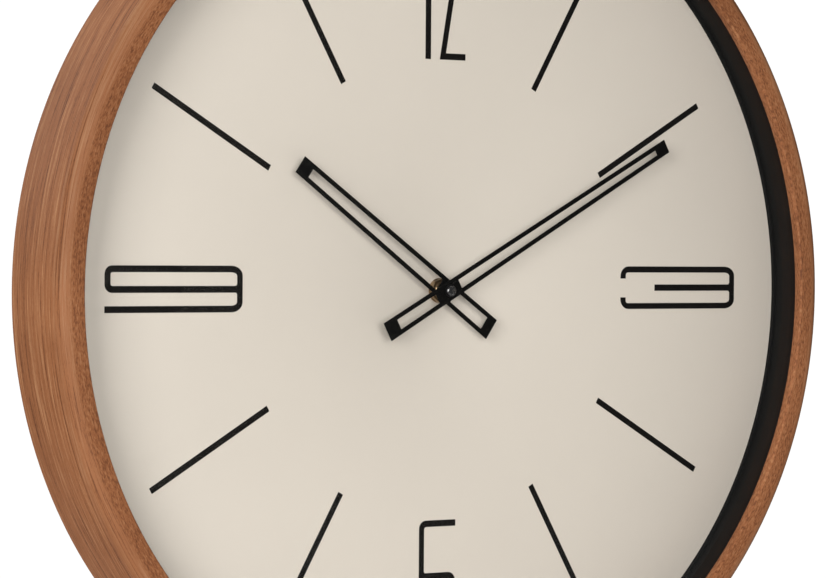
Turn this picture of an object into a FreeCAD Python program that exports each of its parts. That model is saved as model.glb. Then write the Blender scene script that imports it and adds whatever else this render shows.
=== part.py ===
import FreeCAD, Part
import Sketcher
import math
import os
from types import SimpleNamespace

# A round quartz wall clock with a bent-wood case, as an assembly of its separate pieces.
#
# Every piece is modelled about the clock's own centre: x to the viewer's right, z up, and
# "height" counted forward from the dial's front face, towards the viewer. The finished part
# has +Z up, the dial facing -Y and its origin at the centre of the keyhole in the hanger.

Vector = FreeCAD.Vector
Rotation = FreeCAD.Rotation
Placement = FreeCAD.Placement

doc = FreeCAD.newDocument("WallClock")
sheet = doc.addObject("Spreadsheet::Sheet", "Sizes")

DRIVING_SIZES = [
    # alias, millimetres (or a count), what it is
    ("case_radius", 200.0, "outside of the wooden hoop"),
    ("case_wall", 4.0, "thickness of the hoop's wall"),
    ("lip_radius", 188.6, "inside of the hoop's front lip"),
    ("lip_front", 23.0, "front of the lip, ahead of the dial"),
    ("lip_back", 18.6, "back of the lip, ahead of the dial"),
    ("rim_back", 18.4, "back edge of the hoop, behind the dial"),
    ("front_round", 5.5, "rounding of the hoop's front outer edge"),
    ("lip_round", 0.8, "rounding of the lip's inner edge"),
    ("back_round", 1.0, "rounding of the hoop's back outer edge"),
    ("insert_radius", 195.5, "glass, spacer ring, dial and board, all one size"),
    ("glass_thick", 2.0, "front glass"),
    ("ring_inner", 191.9, "inside of the spacer ring"),
    ("ring_foot_inner", 190.4, "inside of the spacer ring's foot on the dial"),
    ("ring_foot_thick", 1.2, "thickness of that foot"),
    ("dial_thick", 1.0, "dial sheet"),
    ("dial_hole", 4.2, "radius of the dial's centre hole"),
    ("board_thick", 3.0, "backing board"),
    ("board_gap", 2.0, "board opening, clear of the movement on each side"),
    ("hang_height", 150.0, "keyhole, above the clock's centre"),
    ("hanger_face", 17.8, "back face of the hanger, behind the dial"),
    ("hanger_thick", 1.0, "steel of the hanger"),
    ("hanger_half", 23.0, "half of the hanger's raised face"),
    ("hanger_foot", 34.0, "hanger foot's end, from the middle"),
    ("hanger_low", 11.0, "hanger's edge below the keyhole"),
    ("hanger_high", 15.0, "hanger's edge above the keyhole"),
    ("keyhole_radius", 4.5, "keyhole's round entry"),
    ("slot_radius", 2.25, "half of the keyhole's slot"),
    ("slot_rise", 7.0, "slot's end above the keyhole's centre"),
    ("screw_at", 28.5, "hanger screws, from the middle"),
    ("screw_head", 2.6, "radius of a board screw's head"),
    ("screw_head_thick", 1.4, "thickness of that head"),
    ("screw_shank", 1.1, "radius of a board screw's shank"),
    ("screw_depth", 2.4, "how far a board screw enters the board"),
    ("clip_count", 6, "retaining clips round the board"),
    ("clip_half", 7.0, "half of a clip's width"),
    ("clip_inner", 181.0, "clip's inner end"),
    ("clip_outer", 195.8, "clip's outer face, just inside the hoop"),
    ("clip_thick", 1.0, "steel of a clip"),
    ("clip_back", 14.0, "clip's back end, behind the dial"),
    ("clip_screw", 186.0, "clip screws, from the centre"),
    ("case_half", 28.0, "half of the movement's square case"),
    ("shell", 1.2, "wall of the movement's shells"),
    ("movement_front", 2.0, "movement's front face, behind the dial"),
    ("shell_split", 8.0, "where the two shells meet, behind the dial"),
    ("movement_back", 17.6, "movement's back face, behind the dial"),
    ("bay_floor", 10.2, "train bay's lower edge, below the centre"),
    ("battery_top", 11.3, "battery bay's upper edge, below the centre"),
    ("battery_radius", 7.25, "battery"),
    ("battery_low", 19.2, "battery's axis, below the centre"),
    ("battery_back", 10.5, "battery's axis, behind the dial"),
    ("battery_left", 24.2, "battery's flat end, left of the centre"),
    ("battery_right", 25.0, "battery's shoulder, right of the centre"),
    ("battery_tip", 26.3, "battery's nub end, right of the centre"),
    ("nub_radius", 2.75, "battery's nub"),
    ("bush_radius", 4.0, "threaded bush"),
    ("bush_bore", 2.58, "bore of that bush"),
    ("bush_top", 3.6, "front end of the bush"),
    ("bush_flange", 5.2, "bush's flange inside the front shell"),
    ("flange_thick", 0.3, "thickness of that flange"),
    ("gasket_radius", 9.0, "rubber washer"),
    ("washer_radius", 5.45, "brass washer"),
    ("washer_thick", 0.5, "brass washer"),
    ("nut_flats", 10.0, "hexagon nut, across its flats"),
    ("nut_thick", 2.0, "hexagon nut"),
    ("hour_tube", 2.5, "outside of the hour wheel's tube"),
    ("hour_bore", 1.68, "bore of that tube"),
    ("minute_tube", 1.6, "outside of the minute tube"),
    ("minute_bore", 0.58, "bore of the minute tube"),
    ("arbor", 0.5, "radius of the train's arbors"),
    ("setting_arbor", 0.8, "radius of the setting arbor"),
    ("pivot_gap", 0.07, "play between a pivot and its hole"),
    ("wheel_thick", 0.8, "thickness of every toothed wheel"),
    ("hour_layer", 3.8, "front of the hour wheel, behind the dial"),
    ("minute_layer", 4.9, "front of the minute wheel, behind the dial"),
    ("centre_layer", 6.1, "front of the centre wheel, behind the dial"),
    ("bridge_front", 7.2, "front of the train bridge, behind the dial"),
    ("bridge_back", 8.0, "back of the train bridge, behind the dial"),
    ("third_layer", 8.4, "front of the third wheel, behind the dial"),
    ("seconds_layer", 9.6, "front of the seconds wheel, behind the dial"),
    ("rotor_layer", 10.8, "front of the intermediate wheel, behind the dial"),
    ("pivot_end", 12.9, "back end of the train's arbors, behind the dial"),
    ("boss_top", 12.4, "front of the back shell's pivot bosses, behind the dial"),
    ("boss_radius", 1.5, "pivot bosses"),
    ("magnet_radius", 3.0, "rotor magnet"),
    ("magnet_front", 12.0, "front of the magnet, behind the dial"),
    ("magnet_back", 14.4, "back of the magnet, behind the dial"),
    ("stator_front", 12.6, "front of the stator plate, behind the dial"),
    ("stator_thick", 0.8, "stator plate and coil core"),
    ("stator_gap", 0.5, "air gap round the magnet"),
    ("coil_high", 21.5, "coil's axis, above the centre"),
    ("coil_radius", 3.2, "winding"),
    ("barrel_radius", 2.1, "bobbin's barrel"),
    ("core_half", 1.4, "half of the core's width inside the bobbin"),
    ("coil_left", 3.4, "bobbin's left end, left of the centre"),
    ("coil_right", 18.4, "bobbin's right end, right of the centre"),
    ("knob_radius", 5.5, "setting knob"),
    ("knob_front", 15.0, "front of the setting knob, behind the dial"),
    ("knob_back", 17.4, "back of the setting knob, behind the dial"),
    ("knob_well", 6.2, "well that the knob sits in"),
    ("well_floor", 14.7, "floor of that well, behind the dial"),
    ("well_top", 13.7, "inner side of that floor, behind the dial"),
    ("hand_thick", 0.5, "sheet of both hands"),
    ("hour_height", 5.6, "back of the hour hand, ahead of the dial"),
    ("hour_tip", 92.9, "hour hand's tip"),
    ("hour_tail", 29.6, "hour hand's tail"),
    ("hour_tip_half", 4.1, "half of the hour hand's width at its tip"),
    ("hour_tail_half", 5.0, "half of the hour hand's width at its tail"),
    ("hour_slot_tip", 86.5, "outer end of the hour hand's slot"),
    ("hour_slot_tail", 24.8, "tail end of the hour hand's slot"),
    ("hour_web_tip", 4.4, "solid middle of the hour hand, towards its tip"),
    ("hour_web_tail", 4.4, "solid middle of the hour hand, towards its tail"),
    ("minute_height", 8.0, "back of the minute hand, ahead of the dial"),
    ("minute_tip", 136.7, "minute hand's tip"),
    ("minute_tail", 37.0, "minute hand's tail"),
    ("minute_tip_half", 3.17, "half of the minute hand's width at its tip"),
    ("minute_tail_half", 4.3, "half of the minute hand's width at its tail"),
    ("minute_slot_tip", 130.0, "outer end of the minute hand's slot"),
    ("minute_slot_tail", 30.2, "tail end of the minute hand's slot"),
    ("minute_web_tip", 6.2, "solid middle of the minute hand, towards its tip"),
    ("minute_web_tail", 7.2, "solid middle of the minute hand, towards its tail"),
    ("rail_width", 1.95, "rails of both hands, beside their slots"),
    ("cap_radius", 2.7, "cap nut on the minute tube"),
    ("cap_side", 0.7, "straight side of the cap nut"),
    ("cap_dome", 1.1, "dome of the cap nut"),
]

# Wheels: teeth, module. A wheel and the pinion that drives it share a module.
ROTOR_PINION, INTERMEDIATE_WHEEL, ROTOR_MODULE = 8, 48, 0.25
INTERMEDIATE_PINION, SECONDS_WHEEL, SECONDS_MODULE = 10, 50, 0.30
SECONDS_PINION, THIRD_WHEEL, THIRD_MODULE = 8, 60, 0.30
THIRD_PINION, CENTRE_WHEEL = 8, 64
CANNON_PINION, MINUTE_WHEEL, MINUTE_MODULE = 12, 36, 0.45
MINUTE_PINION, HOUR_WHEEL = 10, 40

# Tooth forms, in modules: addendum, dedendum, half width at the tip and at the root.
PINION_TOOTH = (0.55, 1.25, 0.22, 0.50)
WHEEL_TOOTH = (0.85, 1.00, 0.30, 0.95)
TOOTH_SINK = 0.1

# Small sizes inside the movement, in millimetres.
BRIDGE_SCREW_RADIUS = 1.4
BRIDGE_SCREW_SHANK = 0.7
BRIDGE_SCREW_HEAD = 0.6
BRIDGE_SCREW_DEPTH = 2.2
MAGNET_CLEAR = 0.6
ROTOR_PIVOT = 0.9
PIVOT_CLEAR = 0.2
WELL_WALL = 0.8
CLUTCH_PLAY = 0.05
SECONDS_ARBOR_FRONT = 2.0
THIRD_ARBOR_FRONT = 5.6
NUT_TURN = 12.0
KNURLS = 36
KNURL_HALF = 0.3
KNURL_DEPTH = 0.25
BOBBIN_LIP = 0.2
BOBBIN_FLANGE = 0.8
BRIDGE_EDGES = (-21.0, 15.0, -6.0, 13.8)          # left, right, low, high
CIRCUIT_EDGES = (-26.4, -11.6, 12.2, 26.4)         # left, right, low, high
EAR_LEFT = (-9.6, -4.4)                            # coil ears of the stator, each side to side
EAR_RIGHT = (19.4, 24.6)
EAR_TOP = 25.0
STATOR_LEFT = 6.4
STATOR_LOW = 5.6
ARM_LOW = 12.4                                     # arm from the stator to its left ear
ARM_HIGH = 15.6
CIRCUIT_BACK = 12.8
CIRCUIT_FRONT = 12.0
CRYSTAL_RADIUS = 1.0
CRYSTAL_Z = 23.6
CRYSTAL_ENDS = (-22.5, -16.5)
CHIP_X = -17.0
CHIP_Z = 17.4
CHIP_DOME = ((0.0, 2.4), (0.3, 2.2), (0.8, 1.2), (0.9, 0.0))   # height over the board, radius
CONTACT_HALF = 4.5
CONTACT_THICK = 0.4
CONTACT_FRONT = 5.5
CONTACT_BACK = 15.5
LEAF_ROOT = 1.2                                    # where the leaf leaves the contact's back end
LEAF_FRONT = 4.0
LEAF_TIP = 0.6
CAP_CROWN = ((0.55, 0.86), (0.88, 0.5))            # share of the dome's height, of its radius

# Directions are clockwise from 12, as the viewer sees them.
THIRD_DIRECTION = 270.0
INTERMEDIATE_DIRECTION = 30.0
ROTOR_DIRECTION = 70.0
SETTING_DIRECTION = 330.0
MINUTE_HAND_ANGLE = 61.4
HOUR_HAND_ANGLE = 305.1

for row, (alias, value, meaning) in enumerate(DRIVING_SIZES, 1):
    sheet.set(f"A{row}", meaning)
    sheet.set(f"B{row}", str(value))
    sheet.setAlias(f"B{row}", alias)
doc.recompute()


class Size:
    """A length with its value and the spreadsheet expression that gives it."""

    def __init__(self, value, text):
        self.value = value
        self.text = text

    def join(self, sign, other, value):
        return Size(value, f"({self.text} {sign} {size(other).text})")

    def __add__(self, other):
        return self.join("+", other, self.value + size(other).value)

    def __sub__(self, other):
        return self.join("-", other, self.value - size(other).value)

    def __mul__(self, other):
        return self.join("*", other, self.value * size(other).value)

    def __truediv__(self, other):
        return self.join("/", other, self.value / size(other).value)

    def __neg__(self):
        return Size(-self.value, f"(-{self.text})")

    def __radd__(self, other):
        return size(other) + self

    def __rsub__(self, other):
        return size(other) - self

    def __rmul__(self, other):
        return size(other) * self


def size(value):
    """A plain number as a Size, or a Size as it is."""
    if isinstance(value, Size):
        return value
    return Size(float(value), f"{value:.6f}" if value >= 0 else f"({value:.6f})")


d = SimpleNamespace(**{alias: Size(value, f"Sizes.{alias}") for alias, value, _ in DRIVING_SIZES})


def place(sketch, index, point, x, y):
    """Tie one point of a sketch to the sketch's origin by its two distances."""
    for kind, axis, length in (("DistanceX", -2, size(x)), ("DistanceY", -1, size(y))):
        if abs(length.value) < 1e-9:
            sketch.addConstraint(Sketcher.Constraint("PointOnObject", index, point, axis))
        else:
            number = sketch.addConstraint(
                Sketcher.Constraint(kind, -1, 1, index, point, length.value))
            sketch.setExpression(f"Constraints[{number}]", length.text)


def circle(x, y, radius):
    """A circle to draw in a sketch."""
    def draw(sketch):
        middle = Vector(size(x).value, size(y).value, 0)
        index = sketch.addGeometry(Part.Circle(middle, Vector(0, 0, 1), size(radius).value))
        place(sketch, index, 3, x, y)
        number = sketch.addConstraint(Sketcher.Constraint("Radius", index, size(radius).value))
        sketch.setExpression(f"Constraints[{number}]", size(radius).text)
    return draw


def outline(*points):
    """A closed outline of straight lines to draw in a sketch."""
    def draw(sketch):
        corners = [Vector(size(x).value, size(y).value, 0) for x, y in points]
        ends = corners[1:] + corners[:1]
        lines = [sketch.addGeometry(Part.LineSegment(a, b)) for a, b in zip(corners, ends)]
        for line, following in zip(lines, lines[1:] + lines[:1]):
            sketch.addConstraint(Sketcher.Constraint("Coincident", line, 2, following, 1))
        for line, (x, y) in zip(lines, points):
            place(sketch, line, 1, x, y)
    return draw


def rectangle(left, right, low, high):
    """A rectangle to draw in a sketch."""
    return outline((left, low), (right, low), (right, high), (left, high))


class Piece:
    """One sub-part: a body about the clock's centre, or about its own axis at (x, z)."""

    def __init__(self, label, x=0.0, z=0.0, turn=0.0):
        self.body = doc.addObject("PartDesign::Body", label)
        self.body.Label = label
        self.body.AllowCompound = True
        self.body.Placement = Placement(
            Vector(x, -d.hanger_face.value, z - d.hang_height.value),
            Rotation(Vector(0, 1, 0), turn))
        pieces.append(self)

    def sketch(self, plane, shapes, height=0.0, turn=0.0):
        """A sketch on one of the body's own planes, turned clockwise about its normal."""
        sketch = self.body.newObject("Sketcher::SketchObject", f"{self.body.Name}_sketch")
        support = next(f for f in self.body.Origin.OriginFeatures if f.Role == plane)
        sketch.AttachmentSupport = [(support, "")]
        sketch.MapMode = "FlatFace"
        sketch.AttachmentOffset = Placement(
            Vector(0, 0, size(height).value), Rotation(Vector(0, 0, 1), -turn))
        sketch.setExpression(".AttachmentOffset.Base.z", size(height).text)
        for draw in shapes:
            draw(sketch)
        return sketch

    def feature(self, kind, sketch, length):
        feature = self.body.newObject(f"PartDesign::{kind}", f"{self.body.Name}_{kind}")
        feature.Profile = sketch
        feature.Length = length.value
        feature.setExpression("Length", length.text)
        return feature

    def pad(self, bottom, top, *shapes):
        """Material between two heights, seen from the front."""
        sketch = self.sketch("XZ_Plane", shapes, bottom)
        return self.feature("Pad", sketch, size(top) - bottom)

    def pocket(self, bottom, top, *shapes):
        """A cut between two heights, seen from the front."""
        sketch = self.sketch("XZ_Plane", shapes, top)
        pocket = self.feature("Pocket", sketch, size(top) - bottom)
        cuts.append(pocket)
        return pocket

    def extrude(self, low, high, *shapes):
        """Material between two levels of z, from an outline in x and y."""
        return self.feature("Pad", self.sketch("XY_Plane", shapes, low), size(high) - low)

    def revolve(self, sketch):
        turned = self.body.newObject("PartDesign::Revolution", f"{self.body.Name}_turned")
        turned.Profile = sketch
        turned.ReferenceAxis = (sketch, ["H_Axis"])
        turned.Angle = 360
        return turned

    def turned(self, *profile):
        """A solid of revolution about the clock's axis, from points (height, radius)."""
        points = [(-size(height), radius) for height, radius in profile]
        return self.revolve(self.sketch("YZ_Plane", [outline(*points)]))

    def turned_across(self, *profile):
        """A solid of revolution about a level axis along x, from points (x, radius)."""
        return self.revolve(self.sketch("XZ_Plane", [outline(*profile)]))

    def stepped(self, *steps, bore=0.0):
        """A turned spindle from steps (back, front, radius) that follow each other."""
        profile = [(steps[0][0], bore)]
        for back, front, radius in steps:
            profile += [(back, radius), (front, radius)]
        profile.append((steps[-1][1], bore))
        return self.turned(*profile)

    def polar(self, features, count, sketch):
        """Copies of features, evenly spaced round the sketch's normal."""
        pattern = self.body.newObject("PartDesign::PolarPattern", f"{self.body.Name}_round")
        pattern.Originals = features
        pattern.Axis = (sketch, ["N_Axis"])
        pattern.Angle = 360
        pattern.Occurrences = int(size(count).value)
        if isinstance(count, Size):
            pattern.setExpression("Occurrences", count.text)
        self.body.Tip = pattern
        return pattern

    def teeth(self, count, module, form, back, front):
        """A ring of teeth on the root cylinder that the piece already has."""
        addendum, dedendum, tip_half, root_half = form
        root = root_radius(count, module, form) - TOOTH_SINK * module
        tip = count * module / 2 + addendum * module
        tooth = self.pad(back, front, outline(
            (-root_half * module, root), (root_half * module, root),
            (tip_half * module, tip), (-tip_half * module, tip)))
        self.polar([tooth], count, tooth.Profile[0])

    def round_edge(self, radius, height, rounding):
        """Round the circular edge that has this radius at this height."""
        doc.recompute()
        base = self.body.Tip
        name = next(f"Edge{i}" for i, edge in enumerate(base.Shape.Edges, 1)
                    if isinstance(edge.Curve, Part.Circle)
                    and abs(edge.Curve.Radius - radius.value) < 1e-6
                    and abs(edge.Curve.Center.y + height.value) < 1e-6)
        fillet = self.body.newObject("PartDesign::Fillet", f"{self.body.Name}_rounding")
        fillet.Base = (base, [name])
        fillet.Radius = rounding.value
        fillet.setExpression("Radius", rounding.text)


def root_radius(count, module, form):
    return count * module / 2 - form[1] * module


def polar_point(distance, direction):
    """The (x, z) of a point at a clockwise direction from 12."""
    angle = math.radians(direction)
    return distance * math.sin(angle), distance * math.cos(angle)


def meshed(teeth, turn, direction, other_teeth):
    """How far the next wheel is turned, so that its gap meets this wheel's tooth."""
    past = (direction - turn) % (360 / teeth)
    return (direction + 180 + past * teeth / other_teeth + 180 / other_teeth) % 360


pieces = []
cuts = []


# ---- where the arbors stand -------------------------------------------------------------

third_distance = (SECONDS_PINION + THIRD_WHEEL) * THIRD_MODULE / 2
CENTRE_MODULE = 2 * third_distance / (THIRD_PINION + CENTRE_WHEEL)
setting_distance = (CANNON_PINION + MINUTE_WHEEL) * MINUTE_MODULE / 2
HOUR_MODULE = 2 * setting_distance / (MINUTE_PINION + HOUR_WHEEL)
intermediate_distance = (INTERMEDIATE_PINION + SECONDS_WHEEL) * SECONDS_MODULE / 2
rotor_distance = (ROTOR_PINION + INTERMEDIATE_WHEEL) * ROTOR_MODULE / 2

third_x, third_z = polar_point(third_distance, THIRD_DIRECTION)
setting_x, setting_z = polar_point(setting_distance, SETTING_DIRECTION)
intermediate_x, intermediate_z = polar_point(intermediate_distance, INTERMEDIATE_DIRECTION)
rotor_step_x, rotor_step_z = polar_point(rotor_distance, ROTOR_DIRECTION)
rotor_x, rotor_z = intermediate_x + rotor_step_x, intermediate_z + rotor_step_z

rotor_turn = 0.0
intermediate_turn = meshed(ROTOR_PINION, rotor_turn, ROTOR_DIRECTION + 180, INTERMEDIATE_WHEEL)
seconds_turn = meshed(INTERMEDIATE_PINION, intermediate_turn, INTERMEDIATE_DIRECTION + 180,
                      SECONDS_WHEEL)
third_turn = meshed(SECONDS_PINION, seconds_turn, THIRD_DIRECTION, THIRD_WHEEL)
centre_turn = meshed(THIRD_PINION, third_turn, THIRD_DIRECTION + 180, CENTRE_WHEEL)
cannon_turn = 0.0
setting_turn = meshed(CANNON_PINION, cannon_turn, SETTING_DIRECTION, MINUTE_WHEEL)
hour_turn = meshed(MINUTE_PINION, setting_turn, SETTING_DIRECTION + 180, HOUR_WHEEL)

# Points in the movement that more than one piece uses.
BRIDGE_POSTS = ((13.0, -4.0), (13.0, 12.3), (-19.5, 11.5))
STATOR_POSTS = ((22.4, 8.0), (-7.4, 23.4))
BOARD_POSTS = ((-24.0, 24.0), (-24.0, 14.6))


# ---- case ---------------------------------------------------------------------------------

def case_hoop():
    """Bent-wood hoop whose front edge turns in as a lip over the glass."""
    hoop = Piece("case_hoop")
    inner = d.case_radius - d.case_wall
    hoop.turned((d.lip_back, d.lip_radius), (d.lip_front, d.lip_radius),
                (d.lip_front, d.case_radius), (-d.rim_back, d.case_radius),
                (-d.rim_back, inner), (d.lip_back, inner))
    hoop.round_edge(d.case_radius, d.lip_front, d.front_round)
    hoop.round_edge(d.lip_radius, d.lip_front, d.lip_round)
    hoop.round_edge(d.case_radius, -d.rim_back, d.back_round)


def front_glass():
    """Flat glass held between the lip and the spacer ring."""
    Piece("front_glass").pad(d.lip_back - d.glass_thick, d.lip_back, circle(0, 0, d.insert_radius))


def spacer_ring():
    """Black ring that holds the glass off the dial, with a foot on the dial."""
    top = d.lip_back - d.glass_thick
    Piece("spacer_ring").turned(
        (0, d.ring_foot_inner), (d.ring_foot_thick, d.ring_foot_inner),
        (d.ring_foot_thick, d.ring_inner), (top, d.ring_inner),
        (top, d.insert_radius), (0, d.insert_radius))


def dial_plate():
    """Printed metal dial with its centre hole."""
    Piece("dial_plate").stepped((-d.dial_thick, 0, d.insert_radius), bore=d.dial_hole)


def backing_board():
    """Fibreboard behind the dial, open for the movement, with pilot holes for its screws."""
    board = Piece("backing_board")
    front = -d.dial_thick
    back = front - d.board_thick
    half = d.case_half + d.board_gap
    board.pad(back, front, circle(0, 0, d.insert_radius))
    board.pocket(back, front, rectangle(-half, half, -half, half))
    board.pocket(back, back + d.screw_depth,
                 circle(-d.screw_at, d.hang_height, d.screw_shank),
                 circle(d.screw_at, d.hang_height, d.screw_shank))
    pilot = board.pocket(back, back + d.screw_depth, circle(0, d.clip_screw, d.screw_shank))
    board.polar([pilot], d.clip_count, pilot.Profile[0])


def retaining_clips():
    """Steel angle clips that hold the board in the hoop, evenly spaced round it."""
    clips = Piece("retaining_clips")
    front = -d.dial_thick - d.board_thick
    foot = clips.pad(front - d.clip_thick, front,
                     rectangle(-d.clip_half, d.clip_half, d.clip_inner, d.clip_outer))
    upright = clips.pad(-d.clip_back, front - d.clip_thick, rectangle(
        -d.clip_half, d.clip_half, d.clip_outer - d.clip_thick, d.clip_outer))
    hole = clips.pocket(front - d.clip_thick, front, circle(0, d.clip_screw, d.screw_shank))
    clips.polar([foot, upright, hole], d.clip_count, foot.Profile[0])


def clip_screws():
    """One screw through each retaining clip into the board."""
    screws = Piece("clip_screws")
    seat = -d.dial_thick - d.board_thick - d.clip_thick
    head = screws.pad(seat - d.screw_head_thick, seat, circle(0, d.clip_screw, d.screw_head))
    shank = screws.pad(seat, seat + d.clip_thick + d.screw_depth,
                       circle(0, d.clip_screw, d.screw_shank))
    screws.polar([head, shank], d.clip_count, head.Profile[0])


def hanger_bracket():
    """Steel bracket that stands off the board, with the keyhole in its raised face."""
    hanger = Piece("hanger_bracket", z=d.hang_height.value)
    foot = d.dial_thick + d.board_thick
    lip = foot + d.hanger_thick
    inside = d.hanger_face - d.hanger_thick
    inner = d.hanger_half - d.hanger_thick
    hanger.extrude(-d.hanger_low, d.hanger_high, outline(
        (-d.hanger_foot, foot), (-inner, foot), (-inner, inside), (inner, inside), (inner, foot),
        (d.hanger_foot, foot), (d.hanger_foot, lip), (d.hanger_half, lip),
        (d.hanger_half, d.hanger_face), (-d.hanger_half, d.hanger_face), (-d.hanger_half, lip),
        (-d.hanger_foot, lip)))
    for shape in (circle(0, 0, d.keyhole_radius), circle(0, d.slot_rise, d.slot_radius),
                  rectangle(-d.slot_radius, d.slot_radius, 0, d.slot_rise)):
        hanger.pocket(-d.hanger_face, -inside, shape)
    hanger.pocket(-lip, -foot, circle(-d.screw_at, 0, d.screw_shank),
                  circle(d.screw_at, 0, d.screw_shank))


def hanger_screws():
    """Two screws that hold the hanger bracket to the board."""
    screws = Piece("hanger_screws", z=d.hang_height.value)
    seat = -d.dial_thick - d.board_thick - d.hanger_thick
    for radius, back, front in (
            (d.screw_head, seat - d.screw_head_thick, seat),
            (d.screw_shank, seat, seat + d.hanger_thick + d.screw_depth)):
        screws.pad(back, front, circle(-d.screw_at, 0, radius), circle(d.screw_at, 0, radius))


# ---- movement: shells, bush and what fastens them -----------------------------------------

def movement_front_shell():
    """Front shell of the movement, with posts for the train bridge."""
    shell = Piece("movement_front_shell")
    inner = d.case_half - d.shell
    floor = -d.movement_front - d.shell
    shell.pad(-d.shell_split, -d.movement_front,
              rectangle(-d.case_half, d.case_half, -d.case_half, d.case_half))
    # The bays are cut from behind: each cut starts at the floor and runs back to the split.
    shell.pocket(-d.shell_split, floor, rectangle(-inner, inner, -d.bay_floor, inner))
    shell.pocket(-d.shell_split, floor, rectangle(-inner, inner, -inner, -d.battery_top))
    shell.pocket(floor, -d.movement_front, circle(0, 0, d.bush_radius))
    shell.pad(-d.bridge_front, floor,
              *(circle(x, z, d.boss_radius) for x, z in BRIDGE_POSTS))
    shell.pocket(-d.bridge_front, -d.bridge_front + BRIDGE_SCREW_DEPTH,
                 *(circle(x, z, BRIDGE_SCREW_SHANK) for x, z in BRIDGE_POSTS))


def movement_back_shell():
    """Back shell with the battery bay, the knob's well and the train's back pivots."""
    shell = Piece("movement_back_shell")
    inner = d.case_half - d.shell
    floor = -d.movement_back + d.shell
    split = -d.shell_split
    shell.pad(-d.movement_back, split,
              rectangle(-d.case_half, d.case_half, -d.case_half, d.case_half))
    shell.pocket(floor, split, rectangle(-inner, inner, -d.bay_floor, inner))
    shell.pocket(-d.movement_back, split, rectangle(-inner, inner, -inner, -d.battery_top))
    pivots = ((0.0, 0.0), (third_x, third_z), (intermediate_x, intermediate_z))
    shell.pad(floor, -d.boss_top, *(circle(x, z, d.boss_radius) for x, z in pivots))
    shell.pad(floor, -d.magnet_back - MAGNET_CLEAR, circle(rotor_x, rotor_z, d.boss_radius))
    shell.pad(floor, -d.stator_front - d.stator_thick,
              *(circle(x, z, d.boss_radius) for x, z in STATOR_POSTS))
    shell.pad(floor, -CIRCUIT_BACK, *(circle(x, z, d.boss_radius) for x, z in BOARD_POSTS))
    shell.pad(floor, -d.well_top, circle(setting_x, setting_z, d.knob_well + WELL_WALL))
    hole = d.arbor + d.pivot_gap
    shell.pocket(-d.pivot_end - PIVOT_CLEAR, -d.boss_top,
                 *(circle(x, z, hole) for x, z in pivots))
    shell.pocket(-d.magnet_back - MAGNET_CLEAR - ROTOR_PIVOT - PIVOT_CLEAR,
                 -d.magnet_back - MAGNET_CLEAR, circle(rotor_x, rotor_z, hole))
    shell.pocket(-d.movement_back, -d.well_floor, circle(setting_x, setting_z, d.knob_well))
    shell.pocket(-d.well_floor, -d.well_top,
                 circle(setting_x, setting_z, d.setting_arbor + d.pivot_gap))


def threaded_bush():
    """Brass bush that carries the hour tube and takes the fixing nut."""
    flange = -d.movement_front - d.shell
    Piece("threaded_bush").stepped(
        (flange - d.flange_thick, flange, d.bush_flange), (flange, d.bush_top, d.bush_radius),
        bore=d.bush_bore)


def rubber_washer():
    """Soft washer between the movement and the dial."""
    Piece("rubber_washer").stepped((-d.movement_front, -d.dial_thick, d.gasket_radius),
                                   bore=d.bush_radius)


def brass_washer():
    """Washer under the fixing nut, on the dial."""
    Piece("brass_washer").stepped((0, d.washer_thick, d.washer_radius), bore=d.bush_radius)


def hex_nut():
    """Fixing nut on the bush, its corners turned down to the washer's size."""
    nut = Piece("hex_nut")
    prism = nut.body.newObject("PartDesign::AdditivePrism", "hex_nut_prism")
    prism.Polygon = 6
    corner = d.nut_flats / (2 * math.cos(math.pi / 6))
    prism.Circumradius = corner.value
    prism.setExpression("Circumradius", corner.text)
    prism.Height = d.nut_thick.value
    prism.setExpression("Height", d.nut_thick.text)
    plane = next(f for f in nut.body.Origin.OriginFeatures if f.Role == "XZ_Plane")
    prism.AttachmentSupport = [(plane, "")]
    prism.MapMode = "FlatFace"
    prism.AttachmentOffset = Placement(Vector(0, 0, d.washer_thick.value),
                                       Rotation(Vector(0, 0, 1), NUT_TURN))
    prism.setExpression(".AttachmentOffset.Base.z", d.washer_thick.text)
    top = d.washer_thick + d.nut_thick
    nut.pocket(d.washer_thick, top, circle(0, 0, d.bush_radius))
    nut.pocket(d.washer_thick, top, circle(0, 0, d.nut_flats), circle(0, 0, d.washer_radius))


def train_bridge():
    """Plate across the movement that carries the front pivots of the train."""
    bridge = Piece("train_bridge")
    bridge.pad(-d.bridge_back, -d.bridge_front, rectangle(*BRIDGE_EDGES))
    holes = [circle(x, z, d.arbor + d.pivot_gap) for x, z in (
        (0.0, 0.0), (third_x, third_z), (intermediate_x, intermediate_z), (rotor_x, rotor_z))]
    holes.append(circle(setting_x, setting_z, d.setting_arbor + d.pivot_gap))
    holes += [circle(x, z, BRIDGE_SCREW_SHANK) for x, z in BRIDGE_POSTS]
    bridge.pocket(-d.bridge_back, -d.bridge_front, *holes)


def bridge_screws():
    """Three small screws that hold the bridge to the front shell's posts."""
    screws = Piece("bridge_screws")
    screws.pad(-d.bridge_back - BRIDGE_SCREW_HEAD, -d.bridge_back,
               *(circle(x, z, BRIDGE_SCREW_RADIUS) for x, z in BRIDGE_POSTS))
    screws.pad(-d.bridge_back, -d.bridge_front + BRIDGE_SCREW_DEPTH,
               *(circle(x, z, BRIDGE_SCREW_SHANK) for x, z in BRIDGE_POSTS))


# ---- movement: the train from the rotor to the centre wheel --------------------------------

def layer(front):
    """Back and front of the wheel whose front is this far behind the dial."""
    return -front - d.wheel_thick, -front


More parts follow.
